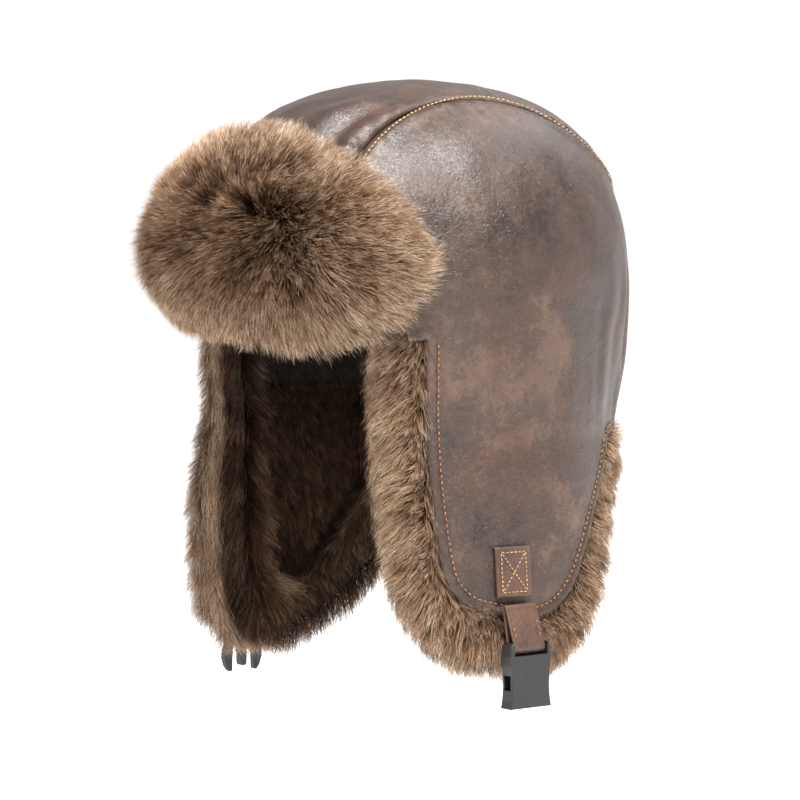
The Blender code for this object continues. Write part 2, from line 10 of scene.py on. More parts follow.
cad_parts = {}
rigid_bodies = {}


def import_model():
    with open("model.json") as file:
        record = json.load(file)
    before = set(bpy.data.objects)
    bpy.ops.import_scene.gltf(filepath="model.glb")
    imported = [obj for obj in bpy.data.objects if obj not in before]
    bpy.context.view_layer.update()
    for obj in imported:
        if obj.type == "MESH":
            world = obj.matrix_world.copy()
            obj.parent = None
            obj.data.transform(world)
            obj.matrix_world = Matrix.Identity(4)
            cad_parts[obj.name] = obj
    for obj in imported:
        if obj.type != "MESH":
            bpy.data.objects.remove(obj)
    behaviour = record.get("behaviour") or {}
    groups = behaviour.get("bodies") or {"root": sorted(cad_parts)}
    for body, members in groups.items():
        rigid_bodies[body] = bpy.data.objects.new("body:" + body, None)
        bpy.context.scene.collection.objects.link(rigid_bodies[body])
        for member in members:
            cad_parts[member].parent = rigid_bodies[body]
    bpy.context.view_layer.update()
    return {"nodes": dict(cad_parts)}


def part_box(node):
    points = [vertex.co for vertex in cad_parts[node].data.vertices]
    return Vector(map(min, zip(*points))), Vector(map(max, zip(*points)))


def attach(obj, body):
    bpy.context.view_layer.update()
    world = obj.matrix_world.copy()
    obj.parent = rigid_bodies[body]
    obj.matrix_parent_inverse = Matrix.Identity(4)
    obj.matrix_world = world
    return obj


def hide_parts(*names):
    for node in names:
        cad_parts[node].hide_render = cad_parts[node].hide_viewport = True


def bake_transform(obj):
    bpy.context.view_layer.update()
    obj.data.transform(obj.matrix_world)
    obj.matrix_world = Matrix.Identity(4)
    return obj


for ob in list(bpy.data.objects):
    bpy.data.objects.remove(ob, do_unlink=True)
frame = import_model()
scene = bpy.context.scene
DENSITY = 1.0

# ------------------------------------------------------------------ head form (metres)
A, B, ZW, ZT, ND = 0.103, 0.122, 0.064, 0.170, 2.3
DOME_ARC = 0.150
Z_RIM, Z_NAPE, T_SEAM = 0.039, -0.018, math.degrees(math.asin(0.056 / 0.103))


def sm(x):
    x = np.clip(x, 0.0, 1.0)
    return x * x * (3 - 2 * x)


def wall_scale(t, z):
    back = sm((np.abs(t) - 100.0) / 60.0)
    down = np.clip((ZW - z) / (ZW + 0.015), 0.0, 1.0)
    return 1.0 - (0.035 + 0.060 * back) * down ** 1.5


def wall(t, z, off):
    t, z, off = np.broadcast_arrays(np.asarray(t, float), np.asarray(z, float), np.asarray(off, float))
    s = wall_scale(t, z)
    back = sm((np.abs(t) - 100.0) / 40.0)
    out = 0.080 * np.maximum(-z, 0.0) * (1 - back)
    r = np.radians(t)
    return np.stack([(A * s + out - off) * np.sin(r), -(B * s - off) * np.cos(r), z], -1)


def crown(t, m, off):
    t, m, off = np.broadcast_arrays(np.asarray(t, float), np.asarray(m, float), np.asarray(off, float))
    w = wall(t, ZW + np.minimum(m, 0.0), off)
    phi = np.radians(np.clip(m, 0, DOME_ARC) / DOME_ARC * 90.0)
    c = np.maximum(np.cos(phi), 0.0) ** (2 / ND)
    s = np.sin(phi) ** (2 / ND)
    r = np.radians(t)
    d = np.stack([(A - off) * c * np.sin(r), -(B - off) * c * np.cos(r), ZW + (ZT - ZW - off) * s], -1)
    return np.where((m <= 0)[..., None], w, d)


def plan_to_crown(x, y):
    t = np.degrees(np.arctan2(x / A, -y / B))
    rho = np.minimum(np.hypot(x / A, y / B), 1.0)
    return t, DOME_ARC * np.degrees(np.arccos(rho ** (ND / 2))) / 90.0


def catmull(points, n):
    p = np.array(points, float)
    p = np.vstack([2 * p[0] - p[1], p, 2 * p[-1] - p[-2]])
    out = []
    for i in range(1, len(p) - 2):
        for k in range(24):
            u = k / 24
            out.append(0.5 * (2 * p[i] + (p[i + 1] - p[i - 1]) * u
                              + (2 * p[i - 1] - 5 * p[i] + 4 * p[i + 1] - p[i + 2]) * u ** 2
                              + (3 * p[i] - p[i - 1] - 3 * p[i + 1] + p[i + 2]) * u ** 3))
    out.append(p[-2])
    return respace(np.array(out), n)


def respace(pts, n):
    d = np.concatenate([[0], np.cumsum(np.linalg.norm(np.diff(pts, axis=0), axis=1))])
    s = np.linspace(0, d[-1], n + 1)
    return np.stack([np.interp(s, d, pts[:, k]) for k in range(pts.shape[1])], axis=1)


def unit(v):
    return v / np.maximum(np.linalg.norm(v, axis=-1, keepdims=True), 1e-12)


# arc length round the wall at the fold, measured from straight out to the side
_t = np.linspace(0.0, 180.0, 1441)
_p = wall(_t, -0.016, 0.0)[:, :2]
_s = np.concatenate([[0], np.cumsum(np.linalg.norm(np.diff(_p, axis=0), axis=1))])
_s -= np.interp(90.0, _t, _s)


def arc_to_t(a):
    return np.interp(a, _s, _t)


def t_to_arc(t):
    return np.interp(t, _t, _s)


OUTLINE = [(-0.061, -0.0006), (-0.0605, -0.030), (-0.058, -0.062), (-0.054, -0.083),
           (-0.044, -0.0955), (-0.028, -0.101), (-0.008, -0.1045), (0.010, -0.1005),
           (0.0235, -0.090), (0.034, -0.076), (0.046, -0.057), (0.062, -0.035),
           (0.0735, -0.0185), (0.0890, -0.0165)]
EDGE = catmull(OUTLINE, 200)
SEAM = [(0.0560, 1.0), (0.0555, 0.8), (0.0520, 0.40), (0.0500, 0.0), (0.0535, -0.25),
        (0.0585, -0.50), (0.0570, -0.70), (0.0480, -0.83), (0.0340, -0.905),
        (0.0180, -0.943), (0.0018, -0.955)]


def seam_plan(n=240):
    pts = catmull(SEAM, 400)
    x, k = pts[:, 0], pts[:, 1]
    y = -k * B * np.sqrt(1 - (x / A) ** 2)
    t, m = plan_to_crown(x, y)
    P = crown(t, m, 0.0)
    d = np.concatenate([[0], np.cumsum(np.linalg.norm(np.diff(P, axis=0), axis=1))])
    s = np.linspace(0, d[-1], n + 1)
    out = np.stack([np.interp(s, d, x), np.interp(s, d, y)], 1)
    tan = unit(np.gradient(out, axis=0))
    return out, np.stack([tan[:, 1], -tan[:, 0]], 1), d[-1]


PLAN, PLAN_N, SEAM_LEN = seam_plan()


def seam_at(q, gap):
    s = np.linspace(0, 1, len(PLAN))
    p = np.stack([np.interp(q, s, PLAN[:, k]) for k in (0, 1)], -1)
    n = np.stack([np.interp(q, s, PLAN_N[:, k]) for k in (0, 1)], -1)
    p = p + n * np.asarray(gap)[..., None] if np.ndim(gap) else p + n * gap
    return np.maximum(p[..., 0], 0.0004), p[..., 1]


# ------------------------------------------------------------------ smooth noise
def hash01(i, j, k, seed):
    h = (i * 73856093 ^ j * 19349663 ^ k * 83492791 ^ (seed * 2654435761)) & 0xFFFFFFFF
    h = (h ^ (h >> 13)) * 1274126177 & 0xFFFFFFFF
    return ((h ^ (h >> 16)) & 0xFFFFFF) / float(0xFFFFFF)


def noise(P, scale, seed=0):
    """Smooth value noise from -1 to 1 at points P, with cells of the given size."""
    q = np.asarray(P, float) / scale + 1000.0
    f = np.floor(q).astype(np.int64)
    u = q - f
    u = u * u * (3 - 2 * u)
    out = 0.0
    for di in (0, 1):
        for dj in (0, 1):
            for dk in (0, 1):
                w = (u[..., 0] if di else 1 - u[..., 0]) * (u[..., 1] if dj else 1 - u[..., 1]) \
                    * (u[..., 2] if dk else 1 - u[..., 2])
                out = out + w * hash01(f[..., 0] + di, f[..., 1] + dj, f[..., 2] + dk, seed)
    return out * 2 - 1


# ------------------------------------------------------------------ materials
def srgb(r, g, b):
    def c(v):
        v = v / 255
        return v / 12.92 if v <= 0.04045 else ((v + 0.055) / 1.055) ** 2.4
    return (c(r), c(g), c(b), 1.0)


def new_mat(name):
    m = bpy.data.materials.new(name)
    m.use_nodes = True
    nt = m.node_tree
    return m, nt, nt.nodes["Principled BSDF"]


def ramp(nt, stops):
    n = nt.nodes.new("ShaderNodeValToRGB")
    n.color_ramp.interpolation = "EASE"
    el = n.color_ramp.elements
    el[0].position, el[0].color = stops[0]
    el[1].position, el[1].color = stops[-1]
    for p, c in stops[1:-1]:
        e = el.new(p)
        e.color = c
    return n


def coords(nt, scale=1.0):
    tc = nt.nodes.new("ShaderNodeTexCoord")
    mp = nt.nodes.new("ShaderNodeMapping")
    mp.inputs["Scale"].default_value = (scale,) * 3
    nt.links.new(tc.outputs["Object"], mp.inputs["Vector"])
    return mp.outputs["Vector"]


def tex_noise(nt, vec, scale, detail=4.0, rough=0.55):
    n = nt.nodes.new("ShaderNodeTexNoise")
    n.inputs["Scale"].default_value = scale
    n.inputs["Detail"].default_value = detail
    n.inputs["Roughness"].default_value = rough
    nt.links.new(vec, n.inputs["Vector"])
    return n


def mix_rgb(nt, fac, a, b, mode="MIX"):
    n = nt.nodes.new("ShaderNodeMix")
    n.data_type = "RGBA"
    n.blend_type = mode
    for sock, v in ((n.inputs[0], fac), (n.inputs[6], a), (n.inputs[7], b)):
        if isinstance(v, (int, float)):
            sock.default_value = v
        elif isinstance(v, tuple):
            sock.default_value = v
        else:
            nt.links.new(v, sock)
    return n.outputs[2]


def math_node(nt, op, a, b=None, c=None):
    n = nt.nodes.new("ShaderNodeMath")
    n.operation = op
    for i, v in enumerate((a, b, c)):
        if v is None:
            continue
        if isinstance(v, (int, float)):
            n.inputs[i].default_value = v
        else:
            nt.links.new(v, n.inputs[i])
    return n.outputs[0]


def leather_material(name, dark, mid, light, red, rough=(0.30, 0.46)):
    """Worn pull-up leather: cloudy grey-brown over red-brown, a pebbled grain and a soft sheen.
    The vertex value "press" is 1 where a seam or stitch pulls the leather in, where it is darker."""
    m, nt, p = new_mat(name)
    vec = coords(nt)
    big = tex_noise(nt, vec, 16.0, 5.0, 0.62)
    med = tex_noise(nt, vec, 48.0, 6.0, 0.68)
    sml = tex_noise(nt, vec, 330.0, 5.0, 0.72)
    base = ramp(nt, [(0.36, dark), (0.50, mid), (0.64, light)])
    f = math_node(nt, "ADD", math_node(nt, "MULTIPLY", big.outputs["Fac"], 0.55),
                  math_node(nt, "MULTIPLY", med.outputs["Fac"], 0.45))
    f = math_node(nt, "ADD", f, math_node(nt, "MULTIPLY", math_node(nt, "SUBTRACT", sml.outputs["Fac"], 0.5), 0.34))
    nt.links.new(f, base.inputs["Fac"])
    off = nt.nodes.new("ShaderNodeMapping")
    off.inputs["Location"].default_value = (3.1, 1.7, 5.3)
    nt.links.new(vec, off.inputs["Vector"])
    rub_n = tex_noise(nt, off.outputs["Vector"], 24.0, 5.0, 0.6)
    rub = ramp(nt, [(0.46, (0, 0, 0, 1)), (0.66, (1, 1, 1, 1))])
    nt.links.new(rub_n.outputs["Fac"], rub.inputs["Fac"])
    col = mix_rgb(nt, math_node(nt, "MULTIPLY", rub.outputs["Color"], 0.55), base.outputs["Color"], red)
    # grain: small pebbles parted by fine creases
    peb = nt.nodes.new("ShaderNodeTexVoronoi")
    peb.feature = "DISTANCE_TO_EDGE"
    peb.inputs["Scale"].default_value = 760.0
    warp = tex_noise(nt, vec, 240.0, 3.0)
    wv = mix_rgb(nt, 0.006, vec, warp.outputs["Color"], "ADD")
    nt.links.new(wv, peb.inputs["Vector"])
    crease = ramp(nt, [(0.0, (0, 0, 0, 1)), (0.20, (1, 1, 1, 1))])
    nt.links.new(peb.outputs["Distance"], crease.inputs["Fac"])
    fine = tex_noise(nt, vec, 1500.0, 3.0, 0.7)
    soft = tex_noise(nt, vec, 120.0, 6.0, 0.66)
    inv = math_node(nt, "SUBTRACT", 1.0, crease.outputs["Color"])
    col = mix_rgb(nt, math_node(nt, "MULTIPLY", inv, 0.35), col, dark)
    press = nt.nodes.new("ShaderNodeAttribute")
    press.attribute_name = "press"
    pr = math_node(nt, "MULTIPLY", press.outputs["Fac"], math_node(nt, "ADD", 0.45, math_node(nt, "MULTIPLY", med.outputs["Fac"], 0.6)))
    deep = tuple(c * 0.62 for c in red[:3]) + (1.0,)
    col = mix_rgb(nt, pr, col, deep)
    nt.links.new(col, p.inputs["Base Color"])
    h = math_node(nt, "ADD", math_node(nt, "MULTIPLY", crease.outputs["Color"], 0.55),
                  math_node(nt, "MULTIPLY", fine.outputs["Fac"], 0.40))
    b1 = nt.nodes.new("ShaderNodeBump")
    b1.inputs["Strength"].default_value = 0.55
    b1.inputs["Distance"].default_value = 0.00022
    nt.links.new(h, b1.inputs["Height"])
    b2 = nt.nodes.new("ShaderNodeBump")
    b2.inputs["Strength"].default_value = 0.65
    b2.inputs["Distance"].default_value = 0.0013
    nt.links.new(soft.outputs["Fac"], b2.inputs["Height"])
    nt.links.new(b1.outputs["Normal"], b2.inputs["Normal"])
    nt.links.new(b2.outputs["Normal"], p.inputs["Normal"])
    r = nt.nodes.new("ShaderNodeMapRange")
    r.inputs["From Min"].default_value = 0.3
    r.inputs["From Max"].default_value = 0.7
    r.inputs["To Min"].default_value = rough[0]
    r.inputs["To Max"].default_value = rough[1]
    nt.links.new(med.outputs["Fac"], r.inputs["Value"])
    nt.links.new(r.outputs["Result"], p.inputs["Roughness"])
    p.inputs["Specular IOR Level"].default_value = 0.62
    p.inputs["Sheen Weight"].default_value = 0.05
    p.inputs["Sheen Roughness"].default_value = 0.5
    return m


def pile_material(name, dark, light, scale=420.0):
    m, nt, p = new_mat(name)
    vec = coords(nt)
    n = tex_noise(nt, vec, scale, 5.0, 0.7)
    b = tex_noise(nt, vec, 45.0, 4.0)
    f = math_node(nt, "ADD", math_node(nt, "MULTIPLY", n.outputs["Fac"], 0.6), math_node(nt, "MULTIPLY", b.outputs["Fac"], 0.4))
    rp = ramp(nt, [(0.35, dark), (0.65, light)])
    nt.links.new(f, rp.inputs["Fac"])
    nt.links.new(rp.outputs["Color"], p.inputs["Base Color"])
    p.inputs["Roughness"].default_value = 0.95
    bp = nt.nodes.new("ShaderNodeBump")
    bp.inputs["Strength"].default_value = 0.8
    bp.inputs["Distance"].default_value = 0.001
    nt.links.new(n.outputs["Fac"], bp.inputs["Height"])
    nt.links.new(bp.outputs["Normal"], p.inputs["Normal"])
    return m


def thread_material(name, a, b):
    m, nt, p = new_mat(name)
    vec = coords(nt)
    n = tex_noise(nt, vec, 900.0, 2.0)
    rp = ramp(nt, [(0.35, a), (0.65, b)])
    nt.links.new(n.outputs["Fac"], rp.inputs["Fac"])
    nt.links.new(rp.outputs["Color"], p.inputs["Base Color"])
    p.inputs["Roughness"].default_value = 0.6
    bp = nt.nodes.new("ShaderNodeBump")
    bp.inputs["Strength"].default_value = 0.5
    bp.inputs["Distance"].default_value = 0.0002
    nt.links.new(n.outputs["Fac"], bp.inputs["Height"])
    nt.links.new(bp.outputs["Normal"], p.inputs["Normal"])
    return m


def plastic_material(name):
    m, nt, p = new_mat(name)
    vec = coords(nt)
    n = tex_noise(nt, vec, 70.0, 4.0)
    g = tex_noise(nt, vec, 1800.0, 2.0)
    rp = ramp(nt, [(0.35, srgb(18, 17, 18)), (0.70, srgb(30, 28, 29))])
    nt.links.new(n.outputs["Fac"], rp.inputs["Fac"])
    nt.links.new(rp.outputs["Color"], p.inputs["Base Color"])
    r = nt.nodes.new("ShaderNodeMapRange")
    r.inputs["To Min"].default_value = 0.30
    r.inputs["To Max"].default_value = 0.52
    nt.links.new(n.outputs["Fac"], r.inputs["Value"])
    nt.links.new(r.outputs["Result"], p.inputs["Roughness"])
    bp = nt.nodes.new("ShaderNodeBump")
    bp.inputs["Strength"].default_value = 0.25
    bp.inputs["Distance"].default_value = 0.00008
    nt.links.new(g.outputs["Fac"], bp.inputs["Height"])
    nt.links.new(bp.outputs["Normal"], p.inputs["Normal"])
    return m


LEATHER = leather_material("leather_worn_brown", srgb(31, 18, 12), srgb(56, 37, 27), srgb(90, 66, 51), srgb(64, 33, 21))
STRAP = leather_material("leather_strap", srgb(44, 27, 18), srgb(76, 50, 35), srgb(102, 71, 51), srgb(86, 50, 28), (0.38, 0.50))
COAT_VISOR = pile_material("fur_visor_ground", srgb(30, 20, 15), srgb(74, 54, 41))
COAT_TRIM = pile_material("fur_trim_ground", srgb(46, 33, 25), srgb(96, 76, 60))
# Painted shade: the linings' ground is the outer fur's colour made much darker to stand for the shade inside the hat.
COAT_LINING_PAINTED_SHADE = pile_material("fur_lining_ground_painted_shade", srgb(12, 8, 6), srgb(38, 26, 19))
WADDING = pile_material("wadding_fibre", srgb(64, 47, 36), srgb(104, 82, 66), 260.0)
ELASTIC = pile_material("elastic_woven", srgb(22, 21, 21), srgb(52, 50, 50), 900.0)
THREAD = thread_material("thread_orange_tan", srgb(112, 72, 38), srgb(158, 112, 66))
THREAD_PALE = thread_material("thread_pale_gold", srgb(140, 104, 66), srgb(192, 156, 112))
PLASTIC = plastic_material("plastic_black_satin")

# Hair shades from the darkest root to the palest tip. Each hair takes its root, middle and tip
# from these, by its place along the hair, its lock and itself.
RAMP = np.array([(0.00, 16, 10, 7), (0.12, 34, 22, 15), (0.25, 62, 42, 29), (0.38, 92, 66, 47),
                 (0.50, 120, 90, 67), (0.62, 148, 117, 91), (0.74, 175, 146, 119),
                 (0.86, 202, 178, 152), (1.00, 230, 212, 190)])
N_SHADE = 16
SHADES = []
for _i in range(N_SHADE):
    _c = [np.interp(_i / (N_SHADE - 1), RAMP[:, 0], RAMP[:, k]) for k in (1, 2, 3)]
    _m, _nt, _b = new_mat("hair_shade_%02d" % _i)
    _b.inputs["Base Color"].default_value = srgb(*_c)
    _b.inputs["Roughness"].default_value = 0.55
    _b.inputs["Specular IOR Level"].default_value = 0.12 + 0.25 * _i / (N_SHADE - 1)
    SHADES.append(_m)


# ------------------------------------------------------------------ mesh helpers
def mesh_from(name, V, faces, mats, index=None, smooth=True):
    """Mesh from an array of points and a list of face index arrays (each n x 3 or n x 4)."""
    me = bpy.data.meshes.new(name)
    V = np.ascontiguousarray(V, np.float32)
    me.vertices.add(len(V))
    me.vertices.foreach_set("co", V.ravel())
    faces = [np.asarray(f, np.int32) for f in faces if len(f)]
    loops = np.concatenate([f.ravel() for f in faces])
    sizes = np.concatenate([np.full(len(f), f.shape[1], np.int32) for f in faces])
    starts = np.concatenate([[0], np.cumsum(sizes)[:-1]]).astype(np.int32)
    me.loops.add(len(loops))
    me.loops.foreach_set("vertex_index", loops)
    me.polygons.add(len(starts))
    me.polygons.foreach_set("loop_start", starts)
    for m in (mats if isinstance(mats, list) else [mats]):
        me.materials.append(m)
    if index is not None:
        me.polygons.foreach_set("material_index", np.ascontiguousarray(index, np.int32))
    me.update(calc_edges=True)
    if smooth:
        me.shade_smooth()
    ob = bpy.data.objects.new(name, me)
    scene.collection.objects.link(ob)
    return ob


def grid_faces(nu, nv, wrap_u=False, wrap_v=False):
    """Quads over a grid of nu x nv points, row by row."""
    i = np.arange(nu if wrap_u else nu - 1)
    j = np.arange(nv if wrap_v else nv - 1)
    I, J = np.meshgrid(i, j, indexing="ij")
    I2, J2 = (I + 1) % nu, (J + 1) % nv
    return np.stack([I * nv + J, I2 * nv + J, I2 * nv + J2, I * nv + J2], -1).reshape(-1, 4)


def volume(V, F):
    """Signed volume of a closed mesh of triangles or quads."""
    V = V - V.mean(0)
    tris = F if F.shape[1] == 3 else np.concatenate([F[:, [0, 1, 2]], F[:, [0, 2, 3]]])
    return (V[tris[:, 0]] * np.cross(V[tris[:, 1]], V[tris[:, 2]])).sum() / 6


def nearest(points, leaders):
    kd = kdtree.KDTree(len(leaders))
    for i, p in enumerate(leaders):
        kd.insert(p, i)
    kd.balance()
    return np.array([kd.find(p)[1] for p in points])


def nearest_dist(points, line):
    """Distance of each point to a densely sampled line, and the index of the nearest sample."""
    kd = kdtree.KDTree(len(line))
    for i, p in enumerate(line):
        kd.insert(p, i)
    kd.balance()
    found = [kd.find(p) for p in points]
    return np.array([f[2] for f in found]), np.array([f[1] for f in found])


# ------------------------------------------------------------------ fur
MAX_HAIRS = 9000


def fur(name, root, nrm, flow, length, rng, width=0.00022, lift=(62, 14), droop=0.2, clump=0.55,
        clump_size=14, wave=0.0010, stray=0.16, values=(0.10, 0.42, 0.74), spread=0.20, tone=None,
        lock_share=0.55):
    """Hairs as thin three-sided closed spikes. A hair leaves the skin at lift[0] degrees, lies over
    to lift[1], and is gathered into locks by its tip. values are the shades at root, middle and
    tip. Returns the pieces, each under the face limit."""
    N = len(root)
    root, nrm, flow = np.asarray(root, float), unit(np.asarray(nrm, float)), np.asarray(flow, float)
    flow = unit(flow - nrm * (flow * nrm).sum(1)[:, None])
    side = np.cross(nrm, flow)
    segs = 5
    jit = rng.normal(0, stray, N)
    d_flow = flow * np.cos(jit)[:, None] + side * np.sin(jit)[:, None]
    lift0 = lift[0] if np.ndim(lift[0]) else np.full(N, float(lift[0]))
    lift1 = lift[1] if np.ndim(lift[1]) else np.full(N, float(lift[1]))
    l0 = np.radians(np.clip(lift0 + rng.normal(0, 8, N), 8, 92))
    l1 = np.radians(lift1 + rng.normal(0, 8, N))
    L = length * rng.uniform(0.74, 1.12, N)
    pts = np.zeros((segs + 1, N, 3))
    pts[0] = root
    step = (L / segs)[:, None]
    for j in range(1, segs + 1):
        s = (j - 0.5) / segs
        a = l0 * (1 - s) ** 1.3 + l1 * (1 - (1 - s) ** 1.3)
        d = d_flow * np.cos(a)[:, None] + nrm * np.sin(a)[:, None]
        d[:, 2] -= droop * s
        pts[j] = pts[j - 1] + unit(d) * step
    nl = max(4, N // clump_size)
    lead = rng.choice(N, nl, replace=False)
    who = lead[nearest(root, root[lead])]
    ph = rng.uniform(0, 6.28, N)
    own = rng.uniform(0, 6.28, N)
    for j in range(1, segs + 1):
        s = j / segs
        pts[j] += side * (wave * np.sin(ph[who] + s * 4.2) * s)[:, None]
        pts[j] += nrm * (wave * 0.7 * np.sin(ph[who] * 1.7 + s * 3.6) * s)[:, None]
        pts[j] += side * (wave * 0.35 * np.sin(own + s * 5.0) * s)[:, None]
    base = pts.copy()
    k = clump * rng.uniform(0.45, 1.2, N)
    for j in range(1, segs + 1):
        s = j / segs
        pull = np.clip(k * s ** 1.5, 0, 0.92)[:, None]
        pts[j] = base[j] * (1 - pull) + (base[j][who] + (base[0] - base[0][who]) * 0.12) * pull
    # rings of three points, thin at the root, full in the middle, a point at the tip
    ring_s = np.array([0.0, 0.25, 0.55, 0.82])
    ring_w = np.array([0.80, 1.0, 0.85, 0.50])
    cen = []
    for s in list(ring_s) + [1.0]:
        x = s * segs
        i = min(int(x), segs - 1)
        cen.append(pts[i] * (1 - (x - i)) + pts[i + 1] * (x - i))
    roll = rng.uniform(0, 6.28, N)
    wid = width * rng.uniform(0.75, 1.25, N) / 2
    P = np.zeros((N, 13, 3))
    for j in range(4):
        d = unit(cen[j + 1] - cen[j])
        a = np.cross(d, nrm)
        a = unit(np.where(np.linalg.norm(a, axis=1, keepdims=True) < 1e-4, side, a))
        b = np.cross(d, a)
        for q in range(3):
            ang = roll + q * 2.0944
            P[:, 3 * j + q] = cen[j] + (a * np.cos(ang)[:, None] + b * np.sin(ang)[:, None]) * (wid * ring_w[j])[:, None]
    P[:, 12] = cen[4]
    quads = np.array([[3 * j + q, 3 * j + (q + 1) % 3, 3 * j + 3 + (q + 1) % 3, 3 * j + 3 + q]
                      for j in range(3) for q in range(3)])
    tris = np.array([[9 + q, 9 + (q + 1) % 3, 12] for q in range(3)] + [[2, 1, 0]])
    # shade of each zone
    lock = rng.normal(0, 1, N)
    tn = (lock[who] * lock_share + rng.normal(0, 1, N) * (1 - lock_share)) * spread
    if tone is not None:
        tn = tn + tone
    v0, v1, v2 = values
    zone = np.stack([v0 + tn * 0.35, v1 + tn * 0.8, 0.5 * (v1 + v2) + tn, v2 + tn], 1)
    shade = np.clip(np.round(zone * (N_SHADE - 1) + rng.uniform(-0.4, 0.4, (N, 1))), 0, N_SHADE - 1).astype(int)
    quad_idx = np.repeat(shade[:, :3], 3, axis=1)
    tri_idx = np.concatenate([np.repeat(shade[:, 3:4], 3, axis=1), shade[:, :1]], 1)
    out = []
    parts = max(1, int(math.ceil(N / MAX_HAIRS)))
    # a share of every region in each part, so that parts look alike
    for p in range(parts):
        sel = np.arange(p, N, parts)
        n = len(sel)
        b = (np.arange(n) * 13)[:, None, None]
        used, idx = np.unique(np.concatenate([quad_idx[sel].ravel(), tri_idx[sel].ravel()]), return_inverse=True)
        out.append(mesh_from("%s_%d" % (name, p + 1) if parts > 1 else name, P[sel].reshape(-1, 3),
                             [(b + quads[None]).reshape(-1, 4), (b + tris[None]).reshape(-1, 3)],
                             [SHADES[u] for u in used], idx))
    return out


def surf_frame(f, u, v, eu, ev):
    """Normal, the two unit directions and the area density of a surface f(u, v)."""
    du = (f(u + eu, v) - f(u - eu, v)) / (2 * eu)
    dv = (f(u, v + ev) - f(u, v - ev)) / (2 * ev)
    c = np.cross(du, dv)
    return unit(c), unit(du), unit(dv), np.linalg.norm(c, axis=-1)


def scatter(f, n, rng, ur, vr, eu=0.001, ev=0.001, keep=None, weight=None):
    """n points spread evenly by area over a surface f(u, v)."""
    u = rng.uniform(*ur, 5000)
    v = rng.uniform(*vr, 5000)
    top = np.percentile(surf_frame(f, u, v, eu, ev)[3], 99)
    us, vs, got = [], [], 0
    while got < n:
        u = rng.uniform(*ur, n)
        v = rng.uniform(*vr, n)
        ok = rng.uniform(0, top, n) < surf_frame(f, u, v, eu, ev)[3]
        if keep is not None:
            ok &= keep(u, v)
        if weight is not None:
            ok &= rng.uniform(0, 1, n) < weight(u, v)
        us.append(u[ok])
        vs.append(v[ok])
        got += int(ok.sum())
    return np.concatenate(us)[:n], np.concatenate(vs)[:n]


# ------------------------------------------------------------------ leather
def leather_point(sign, a, m, off):
    """A point of the shell by arc length a round the wall and height m above the widest ring."""
    P = crown(arc_to_t(a), m, off)
    P[..., 0] *= sign
    return P


def leather_normal(sign, a, m):
    e = 0.0008
    du = leather_point(sign, a + e, m, 0.0) - leather_point(sign, a - e, m, 0.0)
    dv = leather_point(sign, a, m + e, 0.0) - leather_point(sign, a, m - e, 0.0)
    n = unit(np.cross(du, dv))
    return n * sign


def seam_line(gap):
    """The crown seam on the +X side from the front bottom to the back, as t, m and 3-D points."""
    low = np.array([[T_SEAM, m] for m in np.linspace(Z_RIM - ZW, -0.002, 16)])
    x, y = seam_at(np.linspace(0, 1, 260), gap)
    t, m = plan_to_crown(x, y)
    tm = np.vstack([low, np.stack([t, m], 1)])
    if gap:
        tm[:16, 0] += gap / 0.0018
    return tm


def inside_poly(P, poly):
    x, y = P[:, 0], P[:, 1]
    inside = np.zeros(len(P), bool)
    j = len(poly) - 1
    for i in range(len(poly)):
        xi, yi = poly[i]
        xj, yj = poly[j]
        hit = ((yi > y) != (yj > y)) & (x < (xj - xi) * (y - yi) / (yj - yi + 1e-15) + xi)
        inside ^= hit
        j = i
    return inside


def mesh_2d(poly, h):
    """Triangles that fill a polygon given by close points, with points about h apart inside."""
    lo, hi = poly.min(0), poly.max(0)
    xs = np.arange(lo[0], hi[0], h)
    ys = np.arange(lo[1], hi[1], h * 0.866)
    X, Y = np.meshgrid(xs, ys)
    X = X + (np.arange(len(ys)) % 2)[:, None] * h / 2
    G = np.stack([X.ravel(), Y.ravel()], 1)
    G = G[inside_poly(G, poly)]
    d, _ = nearest_dist(np.column_stack([G, np.zeros(len(G))]), np.column_stack([poly, np.zeros(len(poly))]))
    G = G[d > h * 0.55]
    pts = [Vector(p) for p in np.vstack([poly, G])]
    n = len(poly)
    V, _, F, _, _, _ = delaunay_2d_cdt(pts, [], [list(range(n))], 1, 1e-7)
    V = np.array([[v.x, v.y] for v in V])
    F = np.array([f for f in F if len(f) == 3])
    e1, e2 = V[F[:, 1]] - V[F[:, 0]], V[F[:, 2]] - V[F[:, 0]]
    flip = e1[:, 0] * e2[:, 1] - e1[:, 1] * e2[:, 0] < 0
    F[flip] = F[flip][:, ::-1]
    return V, F


def close_sheet(outer, inner, F):
    """A closed solid from an outer and an inner copy of an open sheet."""
    n = len(outer)
    e = np.concatenate([F[:, [0, 1]], F[:, [1, 2]], F[:, [2, 0]]])
    key = {}
    for a, b in e:
        key[(a, b)] = True
    rim = np.array([(a, b) for a, b in key if (b, a) not in key])
    sides = np.stack([rim[:, 1], rim[:, 0], rim[:, 0] + n, rim[:, 1] + n], 1)
    return np.vstack([outer, inner]), [F, F[:, ::-1] + n, sides]


BACK_M = Z_NAPE - ZW


def hide_boundary():
    """The outline of one side's leather, crown side panel and ear flap in one, in a and m."""
    tm = seam_line(0.00025)
    seam = np.stack([t_to_arc(np.minimum(tm[:, 0], 179.7)), tm[:, 1]], 1)
    top_rear = seam[-1]
    a_back = t_to_arc(179.85)
    back = np.array([[a_back, top_rear[1]], [a_back, BACK_M]])
    flap = EDGE[::-1].copy()
    flap[:, 1] -= ZW
    up = np.array([[EDGE[0, 0], Z_RIM - ZW]])
    first = seam[:1]
    return seam, back, flap, up, first


seam_am, back_am, flap_am, up_am, first_am = hide_boundary()
_loop = np.vstack([seam_am, back_am, flap_am, up_am, first_am])
HIDE_POLY = respace(_loop, 1150)[:-1]
HIDE_V, HIDE_F = mesh_2d(HIDE_POLY, 0.0019)


